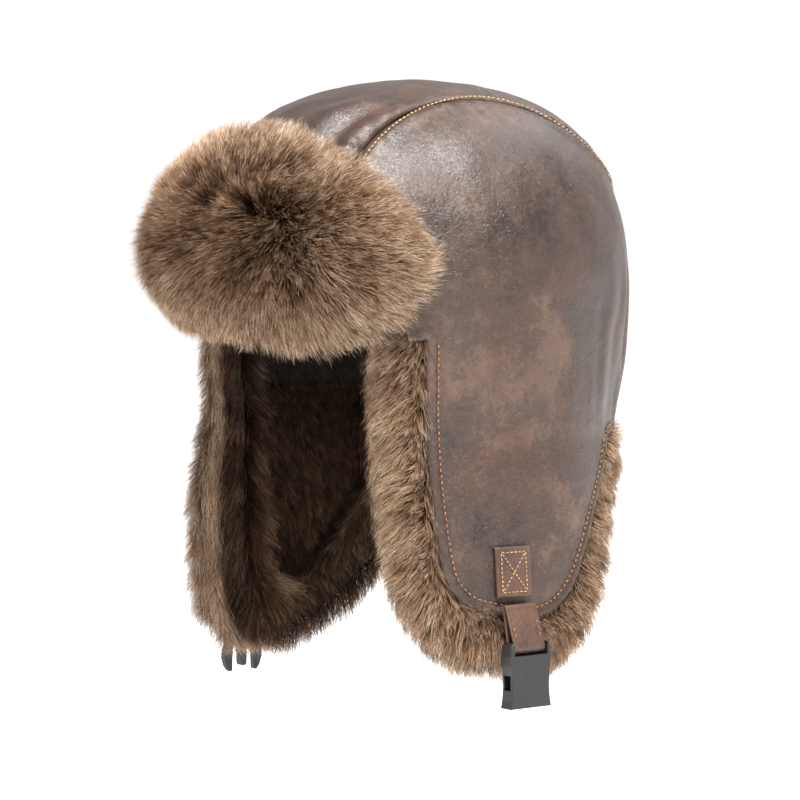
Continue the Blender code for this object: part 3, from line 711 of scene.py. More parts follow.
def stitch_path(P, N, pitch):
    """Even places along a line of points P with normals N."""
    d = np.concatenate([[0], np.cumsum(np.linalg.norm(np.diff(P, axis=0), axis=1))])
    n = max(2, int(d[-1] / pitch))
    s = (np.arange(n) + 0.5) * d[-1] / n
    at = lambda s: np.stack([np.interp(s, d, P[:, k]) for k in range(3)], -1)
    nn = unit(np.stack([np.interp(s, d, N[:, k]) for k in range(3)], -1))
    return at(s), unit(at(s + pitch * 0.25) - at(s - pitch * 0.25)), nn, d[-1] / n


def stitches(name, lines, mat, pitch=0.0027, radius=0.00036, fill=0.76, seed=3):
    """Single stitches of thread along lines, each a short bowed capsule that dips into its holes."""
    rng = np.random.default_rng(seed)
    C, T, N, L = [], [], [], []
    for P, nn in lines:
        c, t, n, p = stitch_path(P, nn, pitch)
        C.append(c)
        T.append(t)
        N.append(n)
        L.append(np.full(len(c), p * fill))
    C, T, N, L = np.vstack(C), np.vstack(T), np.vstack(N), np.concatenate(L)
    S = unit(np.cross(N, T))
    yaw = rng.normal(0, 0.07, len(C))
    T2 = T * np.cos(yaw)[:, None] + S * np.sin(yaw)[:, None]
    S = unit(np.cross(N, T2))
    nu, nv = 9, 8
    V = np.zeros((len(C), nu * nv + 2, 3))
    for i in range(nu):
        x = -1 + 2 * (i + 0.5) / nu
        r = radius * math.sqrt(max(0.0, 1 - abs(x) ** 3.2))
        lift = radius * (0.55 - 1.5 * x ** 4)
        for j in range(nv):
            g = 2 * math.pi * j / nv
            V[:, i * nv + j] = C + T2 * (x * L / 2)[:, None] + N * (lift + r * math.sin(g)) + S * (r * math.cos(g) * 1.1)
    V[:, nu * nv] = C - T2 * (L / 2)[:, None] - N * radius * 1.0
    V[:, nu * nv + 1] = C + T2 * (L / 2)[:, None] - N * radius * 1.0
    quads = grid_faces(nu, nv, wrap_v=True)
    a = [[nu * nv, (j + 1) % nv, j] for j in range(nv)]
    b = [[nu * nv + 1, (nu - 1) * nv + j, (nu - 1) * nv + (j + 1) % nv] for j in range(nv)]
    tris = np.array(a + b)
    if volume(V[0], np.concatenate([quads[:, [0, 1, 2]], quads[:, [0, 2, 3]], tris])) < 0:
        quads, tris = quads[:, ::-1], tris[:, ::-1]
    base = (np.arange(len(C)) * (nu * nv + 2))[:, None, None]
    return mesh_from(name, V.reshape(-1, 3), [(base + quads[None]).reshape(-1, 4), (base + tris[None]).reshape(-1, 3)], mat)


def seam_relief(d, s, seed):
    """Height of the leather near a sewn seam, by distance from it and place along it."""
    h = -0.0016 * np.exp(-(d / 0.0014) ** 2) + 0.0007 * np.exp(-((d - 0.0055) / 0.0035) ** 2)
    h -= 0.00035 * np.exp(-((d - 0.0032) / 0.0007) ** 2)
    line = np.stack([s, d * 0.35, np.full_like(s, seed)], -1)
    ph = s / 0.0105 * 6.283 + 4.5 * noise(line, 0.026, int(seed) + 51) + 1.6 * noise(line, 0.011, int(seed) + 53)
    amp = sm(noise(line, 0.034, int(seed) + 55) + 0.45)
    reach = 0.007 + 0.008 * sm(noise(line, 0.018, int(seed) + 57) + 0.5)
    return h + 0.00085 * amp * np.cos(ph) * np.exp(-np.maximum(d - 0.003, 0) / reach) * sm((d - 0.0012) / 0.003)


def wrinkles(P):
    """Soft creases and slack in the leather."""
    n1, n2 = noise(P, 0.052, 5), noise(P, 0.024, 9)
    q = P.copy()
    q[:, 2] *= 0.45
    n3 = noise(q, 0.014, 13)
    q = P * [1, 1, 0.30] + 0.010 * np.stack([n1, n2, n1], -1)
    n4 = noise(q, 0.010, 15)
    return 0.0016 * n1 + 0.0007 * n2 + 0.00030 * n3 + 0.00022 * n4 * sm(n1 + 0.5)


def pressed(ob, values):
    at = ob.data.attributes.new("press", "FLOAT", "POINT")
    at.data.foreach_set("value", np.asarray(values, np.float32))


def hide(side):
    """One side's leather: crown side panel and ear flap, with no seam between."""
    sign = 1 if side == "left" else -1
    a, m = HIDE_V[:, 0], HIDE_V[:, 1]
    P = leather_point(sign, a, m, 0.0)
    N = leather_normal(sign, a, m)
    sl = seam_line(0.0)
    S = crown(sl[:, 0], sl[:, 1], 0.0)
    S = respace(S, 700)
    S[:, 0] *= sign
    d_seam, i_seam = nearest_dist(P, S)
    s_len = i_seam * np.linalg.norm(S[1] - S[0])
    edge = np.vstack([EDGE[:, :], [[EDGE[0, 0], Z_RIM]]][:1])
    edge = np.vstack([[[EDGE[0, 0], z] for z in np.linspace(Z_RIM, 0.001, 24)], EDGE])
    E = leather_point(sign, edge[:, 0], edge[:, 1] - ZW, 0.0)
    E = respace(E, 900)
    d_edge, i_edge = nearest_dist(P, E)
    e_len = i_edge * np.linalg.norm(E[1] - E[0])
    t = arc_to_t(a)
    D = seam_relief(d_seam, s_len, 1.0 + sign)
    D -= 0.0026 * sm((P[:, 2] - 0.140) / 0.03)
    D += wrinkles(P) * sm(d_seam / 0.012) * sm((d_edge - 0.004) / 0.02 + 0.15)
    # the seam down the middle of the back, and its gathers
    d_back = np.abs(P[:, 0])
    at_back = sm((t - 120) / 40)
    D += np.where(t > 120, seam_relief(d_back, P[:, 2], 4.0), 0) * (t > 150)
    ga = a / 0.0125 * 6.283 + 2.2 * noise(P * [1, 1, 0.35], 0.020, 31)
    D += 0.0020 * np.cos(ga) * at_back * np.exp(-((P[:, 2] - 0.012) / 0.045) ** 2) * sm(d_back / 0.010)
    D += 0.0010 * np.cos(a / 0.021 * 6.283 + 3 * noise(P, 0.03, 8)) * sm((t - 105) / 30) * sm((0.09 - P[:, 2]) / 0.06) * sm((P[:, 2] + 0.03) / 0.04)
    # the turned edge: a soft round border outside the stitch line, with small pulls at the thread
    D += 0.0010 * np.sqrt(np.clip(1 - ((d_edge - 0.0031) / 0.0033) ** 2, 0, 1)) * (d_edge < 0.0064)
    D -= 0.00055 * np.exp(-((d_edge - 0.0066) / 0.0008) ** 2)
    D += 0.00030 * np.cos(e_len / 0.0062 * 6.283 + np.sin(e_len / 0.017)) * np.exp(-np.maximum(d_edge - 0.006, 0) / 0.006) * (d_edge > 0.005)
    D -= 0.0018 * np.exp(-(d_edge / 0.0008) ** 2)
    outer = P + N * D[:, None]
    inner = P - N * (0.0012 - np.minimum(D, 0))[:, None]
    V, faces = close_sheet(outer, inner, HIDE_F)
    if sign < 0:
        faces = [f[:, ::-1] for f in faces]
    ob = mesh_from("hide_" + side, V, faces, LEATHER)
    pr = np.maximum.reduce([np.exp(-(d_seam / 0.0030) ** 2), 0.75 * np.exp(-((d_edge - 0.0066) / 0.0022) ** 2),
                            np.exp(-(d_edge / 0.0010) ** 2), 0.6 * np.exp(-(d_back / 0.0020) ** 2) * (t > 150)])
    pressed(ob, np.concatenate([pr, pr]))
    # lines of stitches: beside the crown seam, and along the turned edge
    q = np.linspace(0, 1, 400)
    x, y = seam_at(q, 0.0034)
    tt, mm = plan_to_crown(x, y)
    keep = tt < 178.5
    tt, mm = tt[keep], mm[keep]
    low = np.linspace(Z_RIM - ZW, -0.002, 20)
    tt = np.concatenate([np.full(20, T_SEAM + 2.1), tt])
    mm = np.concatenate([low, mm])
    aa = t_to_arc(tt)
    sn = leather_normal(sign, aa, mm)
    sp = leather_point(sign, aa, mm, 0.0) + sn * 0.00075
    st = stitches("seam_stitches_" + side, [(sp, sn)], THREAD_PALE, pitch=0.0029, fill=0.70, radius=0.00040, seed=5)
    # inset edge line
    tang = unit(np.gradient(edge, axis=0))
    inn = np.stack([-tang[:, 1], tang[:, 0]], 1)
    mid = edge.mean(0)
    if ((mid - edge) * inn).sum() < 0:
        inn = -inn
    line = edge + inn * 0.0067
    line = line[(edge[:, 1] < Z_RIM - 0.001)]
    line = respace(line, 500)
    en = leather_normal(sign, line[:, 0], line[:, 1] - ZW)
    ep = leather_point(sign, line[:, 0], line[:, 1] - ZW, 0.0) + en * 0.00045
    es = stitches("edge_stitches_" + side, [(ep, en)], THREAD, pitch=0.0031, fill=0.60, radius=0.00036, seed=7)
    return ob, st, es


def crown_panel():
    """The long oval leather panel over the top, from behind the visor to its point at the back."""
    nq, nu = 420, 61
    sl = seam_line(-0.00025)
    t, m = sl[:, 0], sl[:, 1]
    # plan half width and fore-and-aft place of the seam, and the wall part in front
    front = 16
    S = crown(t, m, 0.0)
    S = respace(S, nq)
    u = np.linspace(-1, 1, nu)
    P = np.zeros((nq + 1, nu, 3))
    for i in range(nq + 1):
        sx, sy, sz = S[i]
        x = u * sx
        if sz <= ZW + 1e-5 and sy < 0:
            tt = np.degrees(np.arcsin(np.clip(sx / (A * wall_scale(30.0, sz)), -1, 1)))
            P[i] = wall(u * tt, sz, 0.0)
        else:
            k = sy / (-B * math.sqrt(max(1e-9, 1 - (sx / A) ** 2)))
            y = -k * B * np.sqrt(np.maximum(1 - (x / A) ** 2, 0))
            tt, mm = plan_to_crown(x, y)
            P[i] = crown(tt, mm, 0.0)
    du = np.gradient(P, axis=1)
    dq = np.gradient(P, axis=0)
    N = unit(np.cross(du, dq))
    out = P - np.array([0, 0, 0.05])
    if (N * out).sum() < 0:
        N = -N
    flat, nf = P.reshape(-1, 3), N.reshape(-1, 3)
    S2 = np.vstack([S, S * [-1, 1, 1]])
    d, i = nearest_dist(flat, S2)
    s_len = (i % (nq + 1)) * np.linalg.norm(S[1] - S[0])
    D = seam_relief(d, s_len, 6.0) * 0.8 + wrinkles(flat) * sm(d / 0.012)
    D -= 0.0030 * sm((flat[:, 2] - 0.150) / 0.02)
    # folds where the panel is gathered in behind the visor
    fx = flat[:, 0] / 0.024 * 6.283 + 3.2 * noise(flat, 0.040, 77)
    D += 0.0030 * sm(noise(flat, 0.045, 79) + 0.5) * np.cos(fx) * np.exp(-((flat[:, 1] + 0.080) / 0.032) ** 2) * sm((flat[:, 2] - 0.07) / 0.04) * sm(d / 0.012)
    outer = flat + nf * D[:, None]
    inner = flat - nf * (0.0012 - np.minimum(D, 0))[:, None]
    F = grid_faces(nq + 1, nu)
    F = np.concatenate([F[:, [0, 1, 2]], F[:, [0, 2, 3]]])
    e1 = outer[F[:, 1]] - outer[F[:, 0]]
    e2 = outer[F[:, 2]] - outer[F[:, 0]]
    if (np.cross(e1, e2) * nf[F[:, 0]]).sum() < 0:
        F = F[:, ::-1]
    V, faces = close_sheet(outer, inner, F)
    ob = mesh_from("crown_panel", V, faces, LEATHER)
    pr = np.exp(-(d / 0.0028) ** 2)
    pressed(ob, np.concatenate([pr, pr]))
    return ob


hides, side_parts = {}, {}
for side in ("left", "right"):
    ob, st, es = hide(side)
    hides[side] = ob
    side_parts[side] = [(st, "crown", "stitch_thread"), (es, "blend", "stitch_thread"), (ob, "blend", "shell_leather")]
panel = crown_panel()


# ------------------------------------------------------------------ visor
VE = 59.0


def visor_sheet(off, inset):
    """The visor's curved sheet by u and v from 0 to 1: a long oval round the front."""
    def point(u, v):
        a, w = 2 * np.asarray(u, float) - 1, 2 * np.asarray(v, float) - 1
        t = (VE - math.degrees(inset / 0.115)) * a
        at = np.abs(t) / VE
        top = 0.1395 - 0.008 * at ** 2 - 0.005 * sm((0.3 - a) / 0.9) - inset
        bot = 0.0475 - 0.006 * sm(at / 0.7) - 0.008 * sm(a / 0.8) + 0.008 * sm(-a / 0.8) + inset
        h = (top - bot) / 2 * np.sqrt(np.maximum(1 - np.abs(a) ** 2.6, 0.0004))
        z = (top + bot) / 2 + h * w
        p = wall(t, np.minimum(z, ZW), off)
        p[..., 2] = z
        r = np.radians(t)
        n = np.stack([np.sin(r), -np.cos(r), np.zeros_like(r)], -1)
        return p - n * (np.maximum(z - ZW, 0) ** 2 * 3.6)[..., None]
    return point


def closed_grid(name, nu, nv, f_out, f_in, mat):
    """A closed pad between an outer and an inner sheet over the same u, v grid."""
    U, V = np.meshgrid(np.linspace(0, 1, nu), np.linspace(0, 1, nv), indexing="ij")
    o, i = f_out(U, V).reshape(-1, 3), f_in(U, V).reshape(-1, 3)
    F = grid_faces(nu, nv)
    F = np.concatenate([F[:, [0, 1, 2]], F[:, [0, 2, 3]]])
    n = np.cross(o[F[:, 1]] - o[F[:, 0]], o[F[:, 2]] - o[F[:, 0]])
    if (n * (o - i)[F[:, 0]]).sum() < 0:
        F = F[:, ::-1]
    P, faces = close_sheet(o, i, F)
    return mesh_from(name, P, faces, mat)


def visor_skin(u, v, share=0.42):
    a, w = 2 * np.asarray(u, float) - 1, 2 * np.asarray(v, float) - 1
    back = visor_sheet(-0.0092, 0.004)(u, v)
    puff = 0.0008 + 0.0105 * share * (1 - np.abs(a) ** 3) * (1 - np.abs(w) ** 2.4)
    t = np.arctan2(back[..., 0] / A, -back[..., 1] / B)
    return back + np.stack([np.sin(t), -np.cos(t), np.zeros_like(t)], -1) * puff[..., None]


visor_coat = closed_grid("visor_fur_ground", 90, 40, visor_skin, visor_sheet(-0.0040, 0.004), COAT_VISOR)
visor_back = closed_grid("visor_backing", 90, 40, lambda u, v: visor_sheet(-0.0037, 0.0)(u, v),
                         lambda u, v: visor_sheet(-0.0024, 0.0)(u, v), LEATHER)


def visor_hair():
    rng = np.random.default_rng(11)
    n = int(54000 * DENSITY)
    u, v = scatter(visor_skin, n, rng, (0.002, 0.998), (0.004, 0.996))
    P = visor_skin(u, v)
    N, du, dv, _ = surf_frame(visor_skin, np.clip(u, 0.002, 0.998), np.clip(v, 0.002, 0.998), 0.001, 0.001)
    out = P * [1, 1, 0]
    N = np.where(((N * out).sum(1) < 0)[:, None], -N, N)
    a, w = 2 * u - 1, 2 * v - 1
    # the nap leaves a short parting line at the front's middle and falls away from it all round
    px = np.sign(a) * np.maximum(np.abs(a) - 0.26, 0) / 0.74
    tuft = noise(P, 0.011, 19)
    fx = 1.35 * px + 0.36 * noise(P, 0.024, 3) + 0.22 * noise(P, 0.010, 5)
    fy = 0.95 * (w - 0.04) - 0.20 + 0.36 * noise(P, 0.020, 17) + 0.22 * noise(P, 0.010, 7)
    flow = du * fx[:, None] + dv * fy[:, None]
    r = np.clip((np.abs(px) ** 2.2 + np.abs(w - 0.04) ** 2.2) ** (1 / 2.2), 0, 1)
    lift = (88 - 58 * r ** 1.6 + 8 * tuft, 80 - 80 * r ** 1.2)
    low = np.clip(-w, 0, 1)
    tone = 0.03 * sm(a) + 0.09 * sm(-a * 1.2) * sm((r - 0.35) / 0.4) + 0.24 * (r - 0.60) + 0.06 * noise(P, 0.02, 41) + 0.07 * tuft - 0.05 * low * sm(-a + 0.4)
    L = 0.0240 - 0.0060 * r ** 2 + 0.0018 * noise(P, 0.02, 6) + 0.0016 * tuft - 0.0085 * sm((0.10 - a) / 0.80) + 0.0040 * low * sm(a * 1.4)
    return fur("visor_hair", P, N, flow, L, rng, width=0.00019, lift=lift, droop=0.08, clump=0.50, clump_size=13,
               wave=0.0013, stray=0.24, values=(0.07, 0.33, 0.70), spread=0.16, tone=tone, lock_share=0.45)


visor_hairs = visor_hair()


# ------------------------------------------------------------------ edge fur
def trim_path(side):
    """The fur edging's centre line on one side: from the middle of the nape along it, down round
    the flap, and up to the temple behind the visor; with the direction in the leather that points
    away from it."""
    sign = 1 if side == "left" else -1
    tang = unit(np.gradient(EDGE, axis=0))
    outn = np.stack([tang[:, 1], -tang[:, 0]], 1)
    if ((EDGE - EDGE.mean(0)) * outn).sum() < 0:
        outn = -outn
    k = sm((EDGE[:, 0] - 0.052) / 0.02)[:, None]
    full = 0.0062 * sm((-EDGE[:, 1] - 0.005) / 0.045)[:, None] * sm((0.01 - EDGE[:, 0]) / 0.03)[:, None] * (sign < 0)
    out = EDGE + outn * (0.0098 - 0.0030 * k + full)
    # keep the flap's own stretch, then join the nape and the temple
    a_n = np.linspace(t_to_arc(180.0), t_to_arc(152.0), 26)
    nape = np.stack([a_n, np.full(26, Z_NAPE - 0.0092)], 1)
    flap = out[::-1]
    flap = flap[flap[:, 0] < 0.0790]
    temple = np.stack([np.full(20, EDGE[0, 0] - 0.0098), np.linspace(-0.004, 0.052, 20)], 1)
    line = np.vstack([nape, flap, temple])
    line = catmull(respace(line, 40), 360)
    P = leather_point(sign, line[:, 0], line[:, 1] - ZW, 0.0084)
    N = leather_normal(sign, line[:, 0], line[:, 1] - ZW)
    T = unit(np.gradient(P, axis=0))
    O = unit(np.cross(T, N))
    c = leather_point(sign, 0.0, -0.045 - ZW, 0.0072)
    if ((P - c) * O).sum() < 0:
        O = -O
    # even spacing
    d = np.concatenate([[0], np.cumsum(np.linalg.norm(np.diff(P, axis=0), axis=1))])
    s = np.linspace(0, d[-1], 361)
    f = lambda X: np.stack([np.interp(s, d, X[:, k]) for k in range(3)], 1)
    return f(P), unit(f(N)), unit(f(O)), unit(f(T)), d[-1], sign


def trim(side):
    P, N, O, T, length, sign = trim_path(side)
    rng = np.random.default_rng(21 if side == "left" else 22)
    s_of = np.linspace(0, 1, len(P))

    foot = s_of[np.argmin(P[:, 2])]

    def radius(s):
        end = sm((1 - s) / 0.03)
        if side == "right":
            end = end * (1 + 0.48 * sm((s - foot - 0.015) / 0.11) * sm((0.90 - s) / 0.15))
        return (0.0082 + 0.0012 * np.sin(s * length / 0.019 * 6.283) * sm((0.42 - s) / 0.05) * sm((s - 0.16) / 0.05)) * (0.35 + 0.65 * end)

    def tube(u, v):
        """u along the path, v round it: 0 outwards from the leather, a quarter turn to its face."""
        u, v = np.broadcast_arrays(np.asarray(u, float), np.asarray(v, float))
        at = lambda X: np.stack([np.interp(u, s_of, X[:, k]) for k in range(3)], -1)
        g = 2 * math.pi * v
        r = radius(u)[..., None]
        return at(P) + unit(at(O)) * np.cos(g)[..., None] * r + unit(at(N)) * np.sin(g)[..., None] * r * 0.92

    # three lengths: along the nape, up the flap's back edge, and round its foot to the temple
    cut_nape = s_of[np.argmax(P[:, 1] < 0.0975)]
    cut_foot = s_of[np.argmin(P[:, 2])]
    cuts = [0.0, cut_nape, cut_foot, 1.0]

    def coat_piece(name, u0, u1):
        nu, nv = max(12, int(300 * (u1 - u0))), 20
        U, V = np.meshgrid(np.linspace(u0, u1, nu), np.arange(nv) / nv, indexing="ij")
        pts = tube(U, V).reshape(-1, 3)
        caps = np.vstack([pts[:nv].mean(0), pts[-nv:].mean(0)])
        F = grid_faces(nu, nv, wrap_v=True)
        a = np.array([[nu * nv, (j + 1) % nv, j] for j in range(nv)])
        b = np.array([[nu * nv + 1, (nu - 1) * nv + j, (nu - 1) * nv + (j + 1) % nv] for j in range(nv)])
        allv = np.vstack([pts, caps])
        tri = np.concatenate([F[:, [0, 1, 2]], F[:, [0, 2, 3]], a, b])
        if volume(allv, tri) < 0:
            F, a, b = F[:, ::-1], a[:, ::-1], b[:, ::-1]
        return mesh_from(name, allv, [F, a, b], COAT_TRIM)

    coats = [coat_piece("trim_%s_ground_%s" % (part, side), cuts[k], cuts[k + 1])
             for k, part in enumerate(("nape", "rear", "front"))]
    n = int(34000 * DENSITY)
    u, v = scatter(tube, n, rng, (0.0005, 0.9995), (0.0, 1.0),
                   weight=lambda u, v: 0.35 + 0.65 * sm((np.sin(2 * math.pi * v) + 0.75) / 0.9))
    R = tube(u, v)
    at = lambda X: unit(np.stack([np.interp(u, s_of, X[:, k]) for k in range(3)], -1))
    o, nn, tt = at(O), at(N), at(T)
    g = 2 * math.pi * v
    nrm = o * np.cos(g)[:, None] + nn * np.sin(g)[:, None]
    # hair falls outwards from the leather and down along the edge
    down = np.zeros_like(tt)
    down[:, 2] = -1
    along = tt * np.where(u < 0.62, 1.0, -1.0)[:, None]
    flow = o * 0.95 + down * 0.50 + along * 0.10 + nn * (-0.10) + 0.32 * noise(R, 0.014, 51)[:, None] * tt
    # Painted light and shade: round the edging the hair is a little lighter on the side that faces out, and painted
    # much darker on the inner side towards the head, as its shade.
    tone = 0.05 * noise(R, 0.018, 61) + 0.05 * noise(R, 0.007, 63) + 0.03 * np.sin(g)
    inner = sm((-np.sin(g) - 0.2) / 0.6)
    tone = tone - 0.30 * inner
    face = sm((np.sin(g) + 0.1) / 0.8)
    by_edge = sm((0.15 - np.cos(g)) / 0.7) * face
    low = sm((-o[:, 2] - 0.2) / 0.7)
    L = (0.0200 - 0.0045 * face + 0.0018 * noise(R, 0.02, 71) + 0.0030 * low) * (1 - 0.45 * by_edge)
    if side == "right":
        L = L + 0.0075 * sm((u - foot - 0.015) / 0.11) * sm((0.90 - u) / 0.15)
    flow = flow + o * (0.9 * by_edge)[:, None]
    lift = (58 - 14 * face) * (1 - 0.55 * by_edge)
    hairs = []
    for k, part in enumerate(("nape", "rear", "front")):
        q = (u >= cuts[k]) & (u < cuts[k + 1])
        hairs.append(fur("trim_%s_hair_%s" % (part, side), R[q], nrm[q], flow[q], L[q], rng, width=0.00019, lift=(lift[q], 14),
                         droop=0.20, clump=0.48, clump_size=13, wave=0.0008, stray=0.20, values=(0.15, 0.43, 0.78),
                         spread=0.15, tone=tone[q], lock_share=0.45))
    return coats, hairs


trims = {}
for side in ("left", "right"):
    trims[side] = trim(side)


# ------------------------------------------------------------------ linings
def lining_outline():
    tang = unit(np.gradient(EDGE, axis=0))
    outn = np.stack([tang[:, 1], -tang[:, 0]], 1)
    if ((EDGE - EDGE.mean(0)) * outn).sum() < 0:
        outn = -outn
    inn = EDGE - outn * 0.0010
    inn = inn[inn[:, 0] < 0.0735]
    lo = inn[0, 0]
    top = np.array([[0.0730, -0.012], [0.060, 0.004], [0.030, 0.013], [0.0, 0.016], [-0.040, 0.017], [lo, 0.017]])
    loop = np.vstack([inn, top, inn[:1]])
    return respace(loop, 420)[:-1]


LIN_POLY = lining_outline()
LIN_V, LIN_F = mesh_2d(LIN_POLY, 0.0028)


def groove(a, z):
    """The pressed U-shaped line between a flap lining's middle panel and its border."""
    P = np.stack([a, z, np.zeros_like(a)], 1)
    tang = unit(np.gradient(EDGE, axis=0))
    outn = np.stack([tang[:, 1], -tang[:, 0]], 1)
    if ((EDGE - EDGE.mean(0)) * outn).sum() < 0:
        outn = -outn
    line = EDGE - outn * 0.0155
    line = line[(line[:, 1] < 0.012)]
    line = respace(line, 500)
    d, _ = nearest_dist(P, np.column_stack([line, np.zeros(len(line))]))
    return d


def flap_lining(side):
    sign = 1 if side == "left" else -1
    a, z = LIN_V[:, 0], LIN_V[:, 1]
    d = groove(a, z)
    puff = 0.0022 * sm(d / 0.009) - 0.0008
    puff = puff * sm((0.012 - z) / 0.012)
    N = leather_normal(sign, a, z - ZW)
    inner = leather_point(sign, a, z - ZW, 0.0110) - N * puff[:, None]
    outer = leather_point(sign, a, z - ZW, 0.0068)
    V, faces = close_sheet(outer, inner, LIN_F)
    if sign < 0:
        faces = [f[:, ::-1] for f in faces]
    coat = mesh_from("lining_ground_" + side, V, faces, COAT_LINING_PAINTED_SHADE)
    rng = np.random.default_rng(31 if side == "left" else 32)
    lo, hi = LIN_POLY.min(0), LIN_POLY.max(0)
    f = lambda u, v: leather_point(sign, u, v - ZW, 0.0110)
    n = int(15000 * DENSITY)
    u, v = scatter(f, n, rng, (lo[0], hi[0]), (lo[1], 0.010), keep=lambda u, v: inside_poly(np.stack([u, v], 1), LIN_POLY))
    nr = leather_normal(sign, u, v - ZW)
    d = groove(u, v)
    pf = (0.0022 * sm(d / 0.009) - 0.0008) * sm((0.012 - v) / 0.012)
    R = leather_point(sign, u, v - ZW, 0.0108) - nr * pf[:, None]
    e = 0.001
    g = (groove(u + e, v) - groove(u - e, v))[:, None] * unit(leather_point(sign, u + e, v - ZW, 0.011) - leather_point(sign, u - e, v - ZW, 0.011)) \
        + (groove(u, v + e) - groove(u, v - e))[:, None] * np.array([[0, 0, 1.0]])
    flow = np.array([[0, 0, -1.0]]) * 0.9 + g * 260 * np.exp(-(d / 0.008) ** 2)[:, None] + 0.3 * noise(R, 0.02, 81)[:, None] * [[0, 1, 0]]
    # Painted shade: the lining's hair takes dark values for the shade inside the flap and is painted darker still in
    # the groove's crease; it is lighter towards the bottom.
    tone = 0.05 * noise(R, 0.02, 91) - 0.10 * np.exp(-(d / 0.004) ** 2) + 0.03 * sm((-0.02 - v) / 0.04)
    hairs = fur("lining_hair_" + side, R, -nr, flow, 0.0095, rng, width=0.00026, lift=(52, 22), droop=0.25,
                clump=0.5, clump_size=12, wave=0.0006, stray=0.25, values=(0.05, 0.17, 0.33), spread=0.10, tone=tone)
    return coat, hairs


linings = {}
for side in ("left", "right"):
    linings[side] = flap_lining(side)


def crown_lining():
    """The pile lining inside the crown, a closed shell open at the head."""
    nt, nm = 180, 70
    def bottom(t):
        at = np.abs(t)
        b = np.where(at < 60, Z_RIM + 0.0004, np.where(at > 134, Z_NAPE - 0.005, 0.0012))
        b = np.where((at > 60) & (at < 64), Z_RIM - (Z_RIM - 0.0012) * (at - 60) / 4, b)
        b = np.where((at > 130) & (at <= 134), 0.0012 - (0.0062 - Z_NAPE) * (at - 130) / 4, b)
        return b

    def shell(off, u, v):
        t = u * 360 - 180
        lo = bottom(t) - ZW
        m = lo + (0.1496 - lo) * v
        return crown(t, m, off)
    U, V = np.meshgrid(np.arange(nt) / nt, np.linspace(0, 1, nm), indexing="ij")
    ins = shell(0.0140, U, V)
    ins[..., 2] += 0
    out = shell(0.0089, U, V)
    o, i = out.reshape(-1, 3), ins.reshape(-1, 3)
    F = grid_faces(nt, nm, wrap_u=True)
    n = len(o)
    # the wall's foot and its crown are joined
    foot = np.array([[k * nm, ((k + 1) % nt) * nm, ((k + 1) % nt) * nm + n, k * nm + n] for k in range(nt)])
    top = np.array([[k * nm + nm - 1, ((k + 1) % nt) * nm + nm - 1, 2 * n] for k in range(nt)])
    top_in = np.array([[k * nm + nm - 1 + n, ((k + 1) % nt) * nm + nm - 1 + n, 2 * n + 1] for k in range(nt)])
    allv = np.vstack([o, i, [[0, 0, o[:, 2].max()]], [[0, 0, i[:, 2].max()]]])
    quads = np.vstack([F, F[:, ::-1] + n, foot[:, ::-1]])
    tris = np.vstack([top, top_in[:, ::-1]])
    if volume(allv, np.concatenate([quads[:, [0, 1, 2]], quads[:, [0, 2, 3]], tris])) < 0:
        quads, tris = quads[:, ::-1], tris[:, ::-1]
    coat = mesh_from("crown_lining_ground", allv, [quads, tris], COAT_LINING_PAINTED_SHADE)
    rng = np.random.default_rng(41)
    f = lambda u, v: shell(0.0138, u, v)
    count = int(16000 * DENSITY)
    u, v = scatter(f, count, rng, (0.0, 1.0), (0.003, 0.97), weight=lambda u, v: 0.35 + 0.65 * sm((0.75 - v) / 0.4))
    R = f(u, v)
    nr, du, dv, _ = surf_frame(f, u, v, 0.001, 0.001)
    c = np.array([0, 0, 0.05]) - R
    nr = np.where(((nr * c).sum(1) < 0)[:, None], -nr, nr)
    flow = -dv + 0.3 * noise(R, 0.03, 101)[:, None] * du
    # Painted shade: the crown lining's hair takes very dark values for the shade inside the crown.
    hairs = fur("crown_lining_hair", R, nr, flow, 0.0090, rng, width=0.00028, lift=(50, 22), droop=0.1, clump=0.5,
                clump_size=12, wave=0.0006, stray=0.28, values=(0.03, 0.13, 0.27), spread=0.09)
    return coat, hairs


crown_coat, crown_hairs = crown_lining()


# ------------------------------------------------------------------ tabs and straps
STRAP_Y = {"left": -0.018, "right": -0.026}


def tab_frame(side, dy, z, off):
    """A place on the flap at dy across the tab and height z, with the way out of the leather."""
    sign = 1 if side == "left" else -1
    dy, z = np.broadcast_arrays(np.asarray(dy, float), np.asarray(z, float))
    y = STRAP_Y[side] + dy
    t = np.full(y.shape, 90.0)
    for _ in range(6):
        t = np.degrees(np.arccos(np.clip(-y / (B * wall_scale(t, z) - off), -1, 1)))
    P = wall(t, z, off) * [sign, 1, 1]
    r = np.radians(t)
    return P, unit(np.stack([sign * np.sin(r) / A, -np.cos(r) / B, np.zeros_like(r)], -1))


